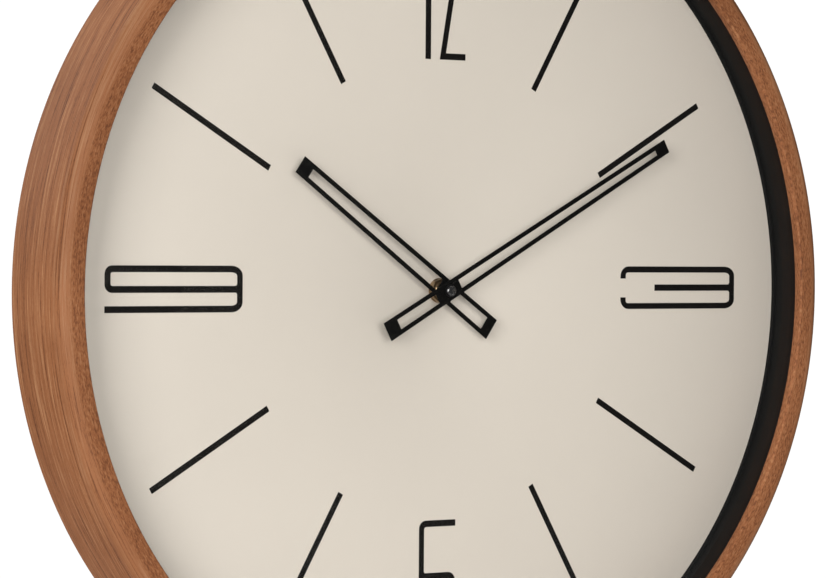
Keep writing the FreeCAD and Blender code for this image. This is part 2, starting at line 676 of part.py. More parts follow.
def rotor():
    """Magnet of the step motor with its pinion on one arbor."""
    back, front = layer(d.rotor_layer)
    root = root_radius(ROTOR_PINION, ROTOR_MODULE, PINION_TOOTH)
    wheel = Piece("rotor", rotor_x, rotor_z, rotor_turn)
    wheel.stepped(
        (-d.magnet_back - MAGNET_CLEAR - ROTOR_PIVOT, -d.magnet_back, d.arbor),
        (-d.magnet_back, -d.magnet_front, d.magnet_radius),
        (-d.magnet_front, front, root), (front, -d.bridge_front - PIVOT_CLEAR, d.arbor))
    wheel.teeth(ROTOR_PINION, ROTOR_MODULE, PINION_TOOTH, back, front)


def train_wheel(label, x, z, turn, wheel, pinion, top):
    """A toothed wheel and the pinion ahead of it, moulded with their arbor.

    wheel and pinion are (teeth, module, front), and the arbor runs from the back shell's
    boss to the height top.
    """
    wheel_teeth, wheel_module, wheel_front = wheel
    pinion_teeth, pinion_module, pinion_front = pinion
    wheel_span = layer(wheel_front)
    pinion_span = layer(pinion_front)
    disc = root_radius(wheel_teeth, wheel_module, WHEEL_TOOTH)
    root = root_radius(pinion_teeth, pinion_module, PINION_TOOTH)
    piece = Piece(label, x, z, turn)
    piece.stepped((-d.pivot_end, wheel_span[0], d.arbor), (*wheel_span, disc),
                  (wheel_span[1], pinion_span[0], d.arbor), (*pinion_span, root),
                  (pinion_span[1], top, d.arbor))
    piece.teeth(wheel_teeth, wheel_module, WHEEL_TOOTH, *wheel_span)
    piece.teeth(pinion_teeth, pinion_module, PINION_TOOTH, *pinion_span)


def train():
    """Intermediate, seconds and third wheels, then the centre wheel on the minute tube."""
    train_wheel("intermediate_wheel", intermediate_x, intermediate_z, intermediate_turn,
                (INTERMEDIATE_WHEEL, ROTOR_MODULE, d.rotor_layer),
                (INTERMEDIATE_PINION, SECONDS_MODULE, d.seconds_layer),
                -d.bridge_front - PIVOT_CLEAR)
    train_wheel("seconds_wheel", 0.0, 0.0, seconds_turn,
                (SECONDS_WHEEL, SECONDS_MODULE, d.seconds_layer),
                (SECONDS_PINION, THIRD_MODULE, d.third_layer), -SECONDS_ARBOR_FRONT)
    train_wheel("third_wheel", third_x, third_z, third_turn,
                (THIRD_WHEEL, THIRD_MODULE, d.third_layer),
                (THIRD_PINION, CENTRE_MODULE, d.centre_layer), -THIRD_ARBOR_FRONT)
    back, front = layer(d.centre_layer)
    centre = Piece("centre_wheel", turn=centre_turn)
    centre.stepped((back, front, root_radius(CENTRE_WHEEL, CENTRE_MODULE, WHEEL_TOOTH)),
                   bore=d.minute_tube + CLUTCH_PLAY)
    centre.teeth(CENTRE_WHEEL, CENTRE_MODULE, WHEEL_TOOTH, back, front)


# ---- movement: the wheels behind the hands -------------------------------------------------

def motion_work():
    """Cannon pinion on the minute tube, minute wheel on the setting arbor, hour wheel."""
    minute_back, minute_front = layer(d.minute_layer)
    hour_back, hour_front = layer(d.hour_layer)
    cannon_root = root_radius(CANNON_PINION, MINUTE_MODULE, PINION_TOOTH)
    cannon = Piece("cannon_pinion", turn=cannon_turn)
    cannon.stepped(
        (-d.bridge_front + PIVOT_CLEAR, minute_back, d.minute_tube),
        (minute_back, minute_front, cannon_root),
        (minute_front, d.minute_height + d.hand_thick, d.minute_tube), bore=d.minute_bore)
    cannon.teeth(CANNON_PINION, MINUTE_MODULE, PINION_TOOTH, minute_back, minute_front)

    pinion_root = root_radius(MINUTE_PINION, HOUR_MODULE, PINION_TOOTH)
    minute = Piece("minute_wheel", setting_x, setting_z, setting_turn)
    minute.stepped(
        (-d.knob_front, minute_back, d.setting_arbor),
        (minute_back, minute_front, root_radius(MINUTE_WHEEL, MINUTE_MODULE, WHEEL_TOOTH)),
        (minute_front, hour_front, pinion_root))
    minute.teeth(MINUTE_WHEEL, MINUTE_MODULE, WHEEL_TOOTH, minute_back, minute_front)
    minute.teeth(MINUTE_PINION, HOUR_MODULE, PINION_TOOTH, hour_back, hour_front)

    hour = Piece("hour_wheel", turn=hour_turn)
    hour.stepped(
        (hour_back, hour_front, root_radius(HOUR_WHEEL, HOUR_MODULE, WHEEL_TOOTH)),
        (hour_front, d.hour_height + d.hand_thick, d.hour_tube), bore=d.hour_bore)
    hour.teeth(HOUR_WHEEL, HOUR_MODULE, WHEEL_TOOTH, hour_back, hour_front)


def setting_knob():
    """Knurled knob at the back that turns the minute wheel to set the hands."""
    knob = Piece("setting_knob", setting_x, setting_z)
    knob.stepped((-d.knob_back, -d.knob_front, d.knob_radius - KNURL_DEPTH))
    base = d.knob_radius.value - 2 * KNURL_DEPTH
    rib = knob.pad(-d.knob_back, -d.knob_front, outline(
        (-KNURL_HALF, base), (KNURL_HALF, base),
        (KNURL_HALF / 2, d.knob_radius), (-KNURL_HALF / 2, d.knob_radius)))
    knob.polar([rib], KNURLS, rib.Profile[0])


# ---- movement: motor coil, circuit and battery ---------------------------------------------

def stator_plate():
    """Soft-iron stator round the magnet, with an ear at each end of the coil."""
    stator = Piece("stator_plate")
    back = -d.stator_front - d.stator_thick
    left_out, left_in = EAR_LEFT
    right_in, right_out = EAR_RIGHT
    stator.pad(back, -d.stator_front, outline(
        (STATOR_LEFT, STATOR_LOW), (right_out, STATOR_LOW), (right_out, EAR_TOP),
        (right_in, EAR_TOP), (right_in, ARM_HIGH), (left_in, ARM_HIGH), (left_in, EAR_TOP),
        (left_out, EAR_TOP), (left_out, ARM_LOW), (STATOR_LEFT, ARM_LOW)))
    stator.pocket(back, -d.stator_front,
                  circle(rotor_x, rotor_z, d.magnet_radius + d.stator_gap))


def coil():
    """Iron core on the stator's ears, the bobbin on it and the winding on the bobbin."""
    low, high = d.coil_high - d.core_half, d.coil_high + d.core_half
    back = -d.stator_front
    Piece("coil_core").pad(back, back + d.stator_thick,
                           rectangle(EAR_LEFT[0], EAR_RIGHT[1], low, high))

    axis_y = d.stator_front.value - d.stator_thick.value / 2
    bobbin = Piece("coil_bobbin", z=d.coil_high.value)
    left, right = -d.coil_left, d.coil_right
    bobbin.body.Placement.Base.y += axis_y
    bobbin.turned_across(
        (left, 0), (left, d.coil_radius + BOBBIN_LIP), (left + BOBBIN_FLANGE, d.coil_radius
         + BOBBIN_LIP), (left + BOBBIN_FLANGE, d.barrel_radius),
        (right - BOBBIN_FLANGE, d.barrel_radius),
        (right - BOBBIN_FLANGE, d.coil_radius + BOBBIN_LIP),
        (right, d.coil_radius + BOBBIN_LIP), (right, 0))
    half = d.stator_thick / 2
    bobbin.pocket(-half, half, rectangle(left, right, -d.core_half, d.core_half))

    winding = Piece("coil_winding", z=d.coil_high.value)
    winding.body.Placement.Base.y += axis_y
    winding.turned_across(
        (left + BOBBIN_FLANGE, d.barrel_radius), (left + BOBBIN_FLANGE, d.coil_radius),
        (right - BOBBIN_FLANGE, d.coil_radius), (right - BOBBIN_FLANGE, d.barrel_radius))


def circuit():
    """Circuit board on its posts, with the quartz crystal's can and the sealed chip."""
    Piece("circuit_board").pad(-CIRCUIT_BACK, -CIRCUIT_FRONT, rectangle(*CIRCUIT_EDGES))
    crystal = Piece("quartz_crystal", z=CRYSTAL_Z)
    crystal.body.Placement.Base.y += CIRCUIT_FRONT - CRYSTAL_RADIUS
    left, right = CRYSTAL_ENDS
    crystal.turned_across((left, 0), (left, CRYSTAL_RADIUS), (right, CRYSTAL_RADIUS), (right, 0))
    chip = Piece("control_chip", x=CHIP_X, z=CHIP_Z)
    chip.turned((-CIRCUIT_FRONT, 0),
                *((-CIRCUIT_FRONT + rise, radius) for rise, radius in CHIP_DOME))


def battery():
    """AA cell lying across the bottom of the movement, with its two contacts."""
    cell = Piece("aa_battery", z=-d.battery_low.value)
    cell.body.Placement.Base.y += d.battery_back.value
    cell.turned_across(
        (-d.battery_left, 0), (-d.battery_left, d.battery_radius),
        (d.battery_right, d.battery_radius), (d.battery_right, d.nub_radius),
        (d.battery_tip, d.nub_radius), (d.battery_tip, 0))

    low, high = -d.battery_low - CONTACT_HALF, -d.battery_low + CONTACT_HALF
    wall = d.case_half - d.shell
    Piece("positive_contact").extrude(low, high, outline(
        (wall - CONTACT_THICK, CONTACT_FRONT), (wall, CONTACT_FRONT), (wall, CONTACT_BACK),
        (wall - CONTACT_THICK, CONTACT_BACK)))
    # A leaf folded back on itself presses on the battery's flat end.
    spring_x, leaf = -d.battery_left, CONTACT_FRONT + LEAF_FRONT
    Piece("negative_contact").extrude(low, high, outline(
        (-wall, CONTACT_FRONT), (-wall + CONTACT_THICK, CONTACT_FRONT),
        (-wall + CONTACT_THICK, CONTACT_BACK - LEAF_ROOT), (spring_x - CONTACT_THICK, leaf),
        (spring_x, leaf), (spring_x, leaf + LEAF_TIP), (-wall + CONTACT_THICK, CONTACT_BACK),
        (-wall, CONTACT_BACK)))


# ---- hands ----------------------------------------------------------------------------------

def hand(label, angle, back, bore, tip, tail, tip_half, tail_half, slot_tip, slot_tail, web_tip,
         web_tail):
    """A tapered skeleton hand: a long frame with a slot and a solid web across its middle."""
    piece = Piece(label, turn=angle)
    front = back + d.hand_thick
    piece.pad(back, front, outline(
        (-tail_half, -tail), (tail_half, -tail), (tip_half, tip), (-tip_half, tip)))
    slot_tip_half, slot_tail_half = tip_half - d.rail_width, tail_half - d.rail_width
    piece.pocket(back, front, outline(
        (-slot_tail_half, -slot_tail), (slot_tail_half, -slot_tail),
        (slot_tip_half, slot_tip), (-slot_tip_half, slot_tip)))
    piece.pad(back, front, outline(
        (-tip_half, -web_tail), (tip_half, -web_tail), (tip_half, web_tip),
        (-tip_half, web_tip)))
    piece.pocket(back, front, circle(0, 0, bore))


def hands():
    """Hour hand on the hour tube, minute hand on the minute tube, and its cap nut."""
    hand("hour_hand", HOUR_HAND_ANGLE, d.hour_height, d.hour_tube, d.hour_tip, d.hour_tail,
         d.hour_tip_half, d.hour_tail_half, d.hour_slot_tip, d.hour_slot_tail,
         d.hour_web_tip, d.hour_web_tail)
    hand("minute_hand", MINUTE_HAND_ANGLE, d.minute_height, d.minute_tube, d.minute_tip,
         d.minute_tail, d.minute_tip_half, d.minute_tail_half, d.minute_slot_tip,
         d.minute_slot_tail, d.minute_web_tip, d.minute_web_tail)
    seat = d.minute_height + d.hand_thick
    cap = Piece("cap_nut", turn=MINUTE_HAND_ANGLE)
    shoulder = seat + d.cap_side
    cap.turned((seat, 0), (seat, d.cap_radius), (shoulder, d.cap_radius),
               *((shoulder + d.cap_dome * rise, d.cap_radius * share)
                 for rise, share in CAP_CROWN), (shoulder + d.cap_dome, 0))


for build in (case_hoop, front_glass, spacer_ring, dial_plate, backing_board, retaining_clips,
              clip_screws, hanger_bracket, hanger_screws, movement_front_shell,
              movement_back_shell, threaded_bush, rubber_washer, brass_washer, hex_nut,
              train_bridge, bridge_screws, rotor, train, motion_work, setting_knob,
              stator_plate, coil, circuit, battery, hands):
    build()
doc.recompute()


# ---- checks and files ------------------------------------------------------------------------

for item in doc.Objects:
    faults = [state for state in item.State if state in ("Invalid", "Error")]
    if faults:
        raise RuntimeError(f"{item.Label} did not compute: {faults}")
for cut in cuts:
    if cut.BaseFeature.Shape.Volume - cut.Shape.Volume < 1e-3:
        raise RuntimeError(f"{cut.Label} removes nothing")
os.makedirs("parts", exist_ok=True)
for piece in pieces:
    shape = piece.body.Shape
    if shape.isNull() or not shape.isValid() or not shape.Solids:
        raise RuntimeError(f"{piece.body.Label} has no valid solid")
for piece in pieces:
    shape = piece.body.Shape
    shape.exportStep(f"parts/{piece.body.Label}.step")
    print(f"{piece.body.Label:24s} {len(shape.Solids)} solid(s) {shape.Volume:12.2f} mm3")
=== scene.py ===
import contextlib
import math

import bmesh
import bpy
from bpy.props import FloatProperty, FloatVectorProperty, IntProperty, PointerProperty
from mathutils import Matrix, Vector


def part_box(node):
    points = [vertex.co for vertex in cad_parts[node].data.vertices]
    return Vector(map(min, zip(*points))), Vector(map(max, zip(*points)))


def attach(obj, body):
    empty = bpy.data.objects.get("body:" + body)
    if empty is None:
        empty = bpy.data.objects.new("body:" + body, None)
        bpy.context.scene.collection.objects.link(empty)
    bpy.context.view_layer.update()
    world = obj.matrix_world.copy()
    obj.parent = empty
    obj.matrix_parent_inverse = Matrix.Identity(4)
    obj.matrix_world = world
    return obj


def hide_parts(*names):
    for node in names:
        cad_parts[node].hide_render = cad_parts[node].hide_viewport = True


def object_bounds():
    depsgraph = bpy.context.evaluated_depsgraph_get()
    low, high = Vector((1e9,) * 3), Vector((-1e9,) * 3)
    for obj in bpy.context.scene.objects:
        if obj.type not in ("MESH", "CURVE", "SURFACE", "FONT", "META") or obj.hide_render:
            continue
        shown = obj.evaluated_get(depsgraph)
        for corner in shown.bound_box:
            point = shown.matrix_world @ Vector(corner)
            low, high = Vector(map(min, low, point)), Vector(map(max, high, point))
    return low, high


# Adds the looks of a round wooden wall clock to its frame: one operator for each piece or
# group of like pieces, and one for the stage. Everything is in metres, dial facing -Y.

bl_info = {
    "name": "Wooden Wall Clock",
    "version": (1, 0, 0),
    "blender": (4, 5, 0),
    "location": "3D View > Sidebar > Clock",
    "description": "Builds a round wall clock with a bent-wood case round its moving frame",
    "category": "Add Mesh",
}

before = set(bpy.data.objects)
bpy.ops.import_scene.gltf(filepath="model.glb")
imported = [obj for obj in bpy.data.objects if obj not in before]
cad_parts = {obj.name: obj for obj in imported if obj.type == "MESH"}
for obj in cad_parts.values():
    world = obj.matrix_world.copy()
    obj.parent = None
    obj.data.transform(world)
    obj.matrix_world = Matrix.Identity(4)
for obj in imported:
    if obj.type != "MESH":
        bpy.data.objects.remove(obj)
FRAME_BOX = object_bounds()

MM = 0.001

CASE_LOW, CASE_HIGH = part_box("case_hoop")
CENTRE = (CASE_LOW + CASE_HIGH) / 2
CENTRE.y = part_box("dial_plate")[0].y


def at(x, z, height=0.0):
    """A place measured from the clock's centre: right, up, and forward of the dial."""
    return CENTRE + Vector((x, -height, z))


def height_of(y):
    """How far forward of the dial a y is."""
    return CENTRE.y - y


def extent(node):
    """Radius of a round node of the frame, and the heights of its front and its back."""
    low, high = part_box(node)
    return (high.x - low.x) / 2, height_of(low.y), height_of(high.y)


def towards(azimuth, elevation):
    """Unit vector from the clock to a place left of the dial's axis and above it."""
    return Vector((-math.sin(azimuth) * math.cos(elevation),
                   -math.cos(azimuth) * math.cos(elevation), math.sin(elevation)))


# ---- sizes and colours a user would change ----

def length(name, description, default):
    return FloatProperty(name=name, description=description, default=default,
                         min=0.0, precision=5, unit="LENGTH")


def turn(name, description, degrees):
    return FloatProperty(name=name, description=description, default=math.radians(degrees),
                         precision=4, unit="ROTATION")


def colour(name, description, red, green, blue):
    return FloatVectorProperty(name=name, description=description, default=(red, green, blue),
                               size=3, min=0.0, max=1.0, subtype="COLOR")


class CaseSizes(bpy.types.PropertyGroup):
    """The hoop, the glass and the spacer ring."""

    steps: IntProperty(name="Steps", description="Steps round a large turned piece",
                       default=256, min=32)
    lip_inner: length("Lip inside", "Radius inside the hoop's lip", 0.1886)
    lip_thick: length("Lip thickness", "Thickness of the hoop's lip", 0.0044)
    wall: length("Wall", "Thickness of the hoop's wall", 0.004)
    front_round: length("Front rounding", "Rounding of the front outer edge", 0.0055)
    lip_round: length("Lip rounding", "Rounding of the lip's inner edge", 0.0008)
    back_round: length("Back rounding", "Rounding of the back outer edge", 0.001)
    fine_round: length("Fine rounding", "Softening of every other edge", 0.0003)
    ring_inner: length("Ring inside", "Radius inside the spacer ring", 0.1919)
    foot_inner: length("Foot inside", "Radius inside the ring's foot", 0.1904)
    foot_thick: length("Foot thickness", "Thickness of the ring's foot", 0.0012)


class DialSizes(bpy.types.PropertyGroup):
    """The dial's hole and its print."""

    hole: length("Hole", "Radius of the dial's centre hole", 0.0042)
    print_rise: length("Print rise", "Height of the print's centre over the dial's", 0.0011)
    ink: length("Ink", "Thickness of the print", 0.00008)
    bar_inner: length("Bar start", "Inner end of the hour bars", 0.1012)
    bar_outer: length("Bar end", "Outer end of the hour bars", 0.1670)
    bar_wide: length("Bar width", "Width of the hour bars", 0.0027)


class HandSizes(bpy.types.PropertyGroup):
    """Both skeleton hands and what holds them."""

    rail: length("Rail", "Width of the rails beside the slots", 0.00195)
    edge: length("Edge", "Softened edge of the sheet", 0.0001)
    hour_angle: turn("Hour hand", "Hour hand, clockwise from 12", 305.1)
    hour_tip: length("Hour tip", "Hour hand, centre to tip", 0.0929)
    hour_tail: length("Hour tail", "Hour hand, centre to tail", 0.0296)
    hour_tip_half: length("Hour tip half", "Half of its width at the tip", 0.0041)
    hour_tail_half: length("Hour tail half", "Half of its width at the tail", 0.0050)
    hour_slot_tip: length("Hour slot", "Outer end of its slot", 0.0865)
    hour_slot_tail: length("Hour tail slot", "Tail end of its slot", 0.0248)
    hour_web_tip: length("Hour web", "Its solid middle, towards the tip", 0.0044)
    hour_web_tail: length("Hour tail web", "Its solid middle, towards the tail", 0.0044)
    hour_bore: length("Hour bore", "Radius of its bore", 0.0025)
    minute_angle: turn("Minute hand", "Minute hand, clockwise from 12", 61.4)
    minute_tip: length("Minute tip", "Minute hand, centre to tip", 0.1367)
    minute_tail: length("Minute tail", "Minute hand, centre to tail", 0.0370)
    minute_tip_half: length("Minute tip half", "Half of its width at the tip", 0.00317)
    minute_tail_half: length("Minute tail half", "Half of its width at the tail", 0.0043)
    minute_slot_tip: length("Minute slot", "Outer end of its slot", 0.1300)
    minute_slot_tail: length("Minute tail slot", "Tail end of its slot", 0.0302)
    minute_web_tip: length("Minute web", "Its solid middle, towards the tip", 0.0062)
    minute_web_tail: length("Minute tail web", "Its solid middle, towards the tail", 0.0072)
    minute_bore: length("Minute bore", "Radius of its bore", 0.0016)
    nut_flats: length("Nut", "Fixing nut across its flats", 0.010)


class Colours(bpy.types.PropertyGroup):
    """Main colours of the clock."""

    wood_dark: colour("Wood, dark", "Dark figure of the walnut", 0.140, 0.050, 0.022)
    wood_mid: colour("Wood, middle", "Ground colour of the walnut", 0.352, 0.138, 0.056)
    wood_pale: colour("Wood, pale", "Pale figure of the walnut", 0.560, 0.285, 0.140)
    # Painted sheen: the highlight colour of the rounded front edge, where the lamps catch it; it
    # is not rubbing or wear.
    wood_edge_sheen: colour("Wood, worn", "Rubbed rounding of the front edge", 0.290, 0.143, 0.078)
    lip_dark: colour("Lip, dark", "Dark flecks of the lip", 0.170, 0.062, 0.028)
    lip_mid: colour("Lip, middle", "Ground colour of the lip", 0.312, 0.120, 0.050)
    lip_pale: colour("Lip, pale", "Pale flecks of the lip", 0.415, 0.190, 0.088)
    dial: colour("Dial", "Ivory paint", 0.790, 0.730, 0.648)
    ink: colour("Ink", "Print on the dial", 0.0050, 0.0042, 0.0038)
    ring: colour("Ring", "Spacer ring", 0.007, 0.007, 0.007)
    hands: colour("Hands", "Lacquer of the hands", 0.0020, 0.0018, 0.0016)
    brass: colour("Brass", "Washer, nut and bush", 0.440, 0.315, 0.190)
    steel: colour("Steel", "Zinc-plated steel", 0.560, 0.570, 0.580)
    board: colour("Board", "Fibreboard", 0.230, 0.120, 0.055)
    shell: colour("Shell", "Moulded shells of the movement", 0.022, 0.022, 0.024)
    floor: colour("Floor", "Studio floor", 0.930, 0.930, 0.930)


class StageSizes(bpy.types.PropertyGroup):
    """Camera, lights and floor."""

    azimuth: turn("Azimuth", "Camera to the left of the dial's axis", 35.30)
    elevation: turn("Elevation", "Camera above the clock's centre", 0.73)
    roll: turn("Roll", "Camera turned about its own view", 0.41)
    distance: length("Distance", "Camera to the clock's centre", 1.4862)
    aim_left: length("Aim left", "How far left of the centre the camera looks", 0.0093)
    aim_back: length("Aim back", "How far behind the dial the camera looks", -0.0063)
    aim_up: length("Aim up", "How far above the centre the camera looks", 0.0006)
    floor_half: length("Floor", "Where the floor has faded out", 0.74)


SETS = (("case", CaseSizes), ("dial", DialSizes), ("hands", HandSizes), ("colours", Colours),
        ("stage", StageSizes))


# ---- shaping by operators ----

def alone(piece):
    """Makes a piece the only one selected, and active."""
    bpy.ops.object.select_all(action="DESELECT")
    piece.select_set(True)
    bpy.context.view_layer.objects.active = piece
    return piece


@contextlib.contextmanager
def editing(piece, kind="VERT"):
    """Edit mode on one piece, with everything in it selected."""
    alone(piece)
    bpy.ops.object.mode_set(mode="EDIT")
    bpy.ops.mesh.select_mode(type=kind)
    bpy.ops.mesh.select_all(action="SELECT")
    try:
        yield
    finally:
        bpy.ops.object.mode_set(mode="OBJECT")


def pick(piece, test, kind="edges"):
    """Selects the edges, faces or vertices of the piece being edited that pass a test."""
    bpy.ops.mesh.select_all(action="DESELECT")
    mesh = bmesh.from_edit_mesh(piece.data)
    chosen = [item for item in getattr(mesh, kind) if test(item)]
    if not chosen:
        raise RuntimeError(f"nothing to select on {piece.name}")
    for item in chosen:
        item.select_set(True)
    mesh.select_flush_mode()
    bmesh.update_edit_mesh(piece.data)


def added(name, primitive, **settings):
    """Adds one primitive and puts its place into its mesh."""
    bpy.ops.object.select_all(action="DESELECT")
    getattr(bpy.ops.mesh, f"primitive_{primitive}_add")(**settings)
    piece = bpy.context.object
    piece.name = piece.data.name = name
    bpy.ops.object.transform_apply(location=True, rotation=True, scale=True)
    return piece


def chain(name, points, closed=True):
    """A plane drawn together into one corner, which is extruded from point to point."""
    piece = added(name, "plane", size=MM, location=points[0])
    with editing(piece):
        bpy.ops.mesh.merge(type="CENTER")
        for here, there in zip(points, points[1:]):
            bpy.ops.mesh.extrude_region_move(
                TRANSFORM_OT_translate={"value": there - here})
        if closed:
            mesh = bmesh.from_edit_mesh(piece.data)
            ends = [v for v in mesh.verts if len(v.link_edges) == 1]
            bpy.ops.mesh.select_all(action="DESELECT")
            for end in ends:
                end.select_set(True)
            bmesh.update_edit_mesh(piece.data)
            bpy.ops.mesh.edge_face_add()
    return piece


def turned(name, profile, steps, centre=None, axis=(0, 1, 0), closed=True):
    """Spins a profile about the clock's axis, or about another one."""
    piece = chain(name, profile, closed)
    with editing(piece):
        bpy.ops.mesh.spin(steps=steps, angle=2 * math.pi, center=centre or CENTRE, axis=axis)
        bpy.ops.mesh.select_all(action="SELECT")
        bpy.ops.mesh.remove_doubles(threshold=MM / 1000)
        bpy.ops.mesh.normals_make_consistent(inside=False)
    return piece


def ring(name, steps, *corners):
    """A turned piece whose profile is given as (height over the dial, radius) corners."""
    return turned(name, [at(radius, 0, height) for height, radius in corners], steps)


def round_rings(piece, width, segments, *places):
    """Rounds the circular edges at each (height over the dial, radius)."""
    def on_place(edge):
        for height, radius in places:
            if all(abs(height_of(v.co.y) - height) < MM / 50
                   and abs(math.hypot(v.co.x - CENTRE.x, v.co.z - CENTRE.z) - radius) < MM / 50
                   for v in edge.verts):
                return True
        return False

    with editing(piece, "EDGE"):
        pick(piece, on_place)
        bpy.ops.mesh.bevel(offset=width, segments=segments, profile=0.5, affect="EDGES")


def modify(piece, kind, **settings):
    """Adds one modifier and applies it."""
    alone(piece)
    bpy.ops.object.modifier_add(type=kind)
    modifier = piece.modifiers[-1]
    for key, value in settings.items():
        setattr(modifier, key, value)
    bpy.ops.object.modifier_apply(modifier=modifier.name)
    return piece


def soften(piece, width, segments=2, angle=40):
    """Rounds every edge sharper than an angle, and shades the piece."""
    modify(piece, "BEVEL", width=width, segments=segments, limit_method="ANGLE",
           angle_limit=math.radians(angle), use_clamp_overlap=True, harden_normals=False)
    return shaded(piece)


def shaded(piece, angle=38):
    """Smooth shading, except over sharp edges."""
    alone(piece)
    bpy.ops.object.shade_smooth_by_angle(angle=math.radians(angle))
    return piece


def combine(piece, operation, *tools):
    """Cuts tools from a piece or fuses them to it, and uses them up."""
    for tool in tools:
        modify(piece, "BOOLEAN", operation=operation, object=tool, solver="EXACT")
        alone(tool)
        bpy.ops.object.delete()
    return piece


def plate(name, outline, back, front):
    """A flat plate from a closed outline of (x, z) points, between two heights."""
    piece = chain(name, [at(x, z, back) for x, z in outline])
    with editing(piece):
        bpy.ops.mesh.edge_face_add()
        bpy.ops.mesh.extrude_region_move(
            TRANSFORM_OT_translate={"value": (0, back - front, 0)})
        bpy.ops.mesh.select_all(action="SELECT")
        bpy.ops.mesh.normals_make_consistent(inside=False)
    return piece


def drum(name, x, z, radius, back, front, vertices=48):
    """A round bar along the clock's axis, used for bosses and to cut holes."""
    return added(name, "cylinder", vertices=vertices, radius=radius, depth=front - back,
                 location=at(x, z, (back + front) / 2), rotation=(math.pi / 2, 0, 0))


def rounded(*corners, steps=6):
    """Outline with sharp (x, z) and rounded (x, z, along x, along z) corners."""
    points = []
    for number, (x, z, *rounding) in enumerate(corners):
        if not rounding:
            points.append((x, z))
            continue
        before, after = corners[number - 1], corners[(number + 1) % len(corners)]
        sides = []
        for other in (before, after):
            dx, dz = other[0] - x, other[1] - z
            size = math.hypot(dx, dz)
            reach = math.hypot(rounding[0] * dx / size, rounding[1] * dz / size)
            sides.append(Vector((dx, dz)) / size * reach)
        for step in range(steps + 1):
            turned_by = math.pi / 2 * step / steps
            points.append(tuple(Vector((x, z)) + sides[0] * (1 - math.sin(turned_by))
                                + sides[1] * (1 - math.cos(turned_by))))
    return points


def twisted(piece, angle, centre=None):
    """Turns a piece clockwise, as the viewer sees it, about a point."""
    alone(piece)
    pivot = Matrix.Translation(centre or CENTRE)
    piece.matrix_world = pivot @ Matrix.Rotation(angle, 4, "Y") @ pivot.inverted()
    bpy.ops.object.transform_apply(location=True, rotation=True, scale=True)
    return piece


def copied(piece, name):
    """A copy of a piece with its own mesh."""
    alone(piece)
    bpy.ops.object.duplicate()
    twin = bpy.context.object
    twin.name = twin.data.name = name
    return twin


def joined(name, pieces):
    """Joins pieces into the first one."""
    bpy.ops.object.select_all(action="DESELECT")
    for piece in pieces:
        piece.select_set(True)
    bpy.context.view_layer.objects.active = pieces[0]
    bpy.ops.object.join()
    pieces[0].name = pieces[0].data.name = name
    return pieces[0]


def refined(node, name, width, segments=2, angle=40):
    """A merged copy of a node's mesh with its edges softened."""
    piece = copied(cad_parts[node], name)
    piece.data.materials.clear()
    with editing(piece):
        bpy.ops.mesh.remove_doubles(threshold=MM / 500)
        bpy.ops.mesh.dissolve_limited(angle_limit=math.radians(2))
    return soften(piece, width, segments, angle)


def finished(piece, finish, body="root", node=None):
    """Gives a piece its finish and its body, and hides the frame's node it stands in for."""
    piece.data.materials.clear()
    piece.data.materials.append(finish)
    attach(piece, body)
    if node:
        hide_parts(node)
    return piece


def repaint(finish, *nodes):
    """Gives nodes that stay as they are a new finish."""
    for node in nodes:
        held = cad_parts[node]
        for slot in held.material_slots:
            slot.material = finish


# ---- finishes ----

class Value:
    """A socket that takes part in Python sums: each operation adds its Math node."""

    def __init__(self, finish, socket):
        self.finish, self.socket = finish, socket

    def math(self, operation, first, *others):
        return self.finish.node("Math", {"operation": operation},
                                dict(enumerate((first, *others))))

    def __add__(self, other):
        return self.math("ADD", self, other)

    def __sub__(self, other):
        return self.math("SUBTRACT", self, other)

    def __mul__(self, other):
        return self.math("MULTIPLY", self, other)

    def __truediv__(self, other):
        return self.math("DIVIDE", self, other)

    def __rsub__(self, other):
        return self.math("SUBTRACT", other, self)

    __radd__ = __add__
    __rmul__ = __mul__

    def sine(self):
        return self.math("SINE", self)

    def root(self):
        return self.math("SQRT", self)


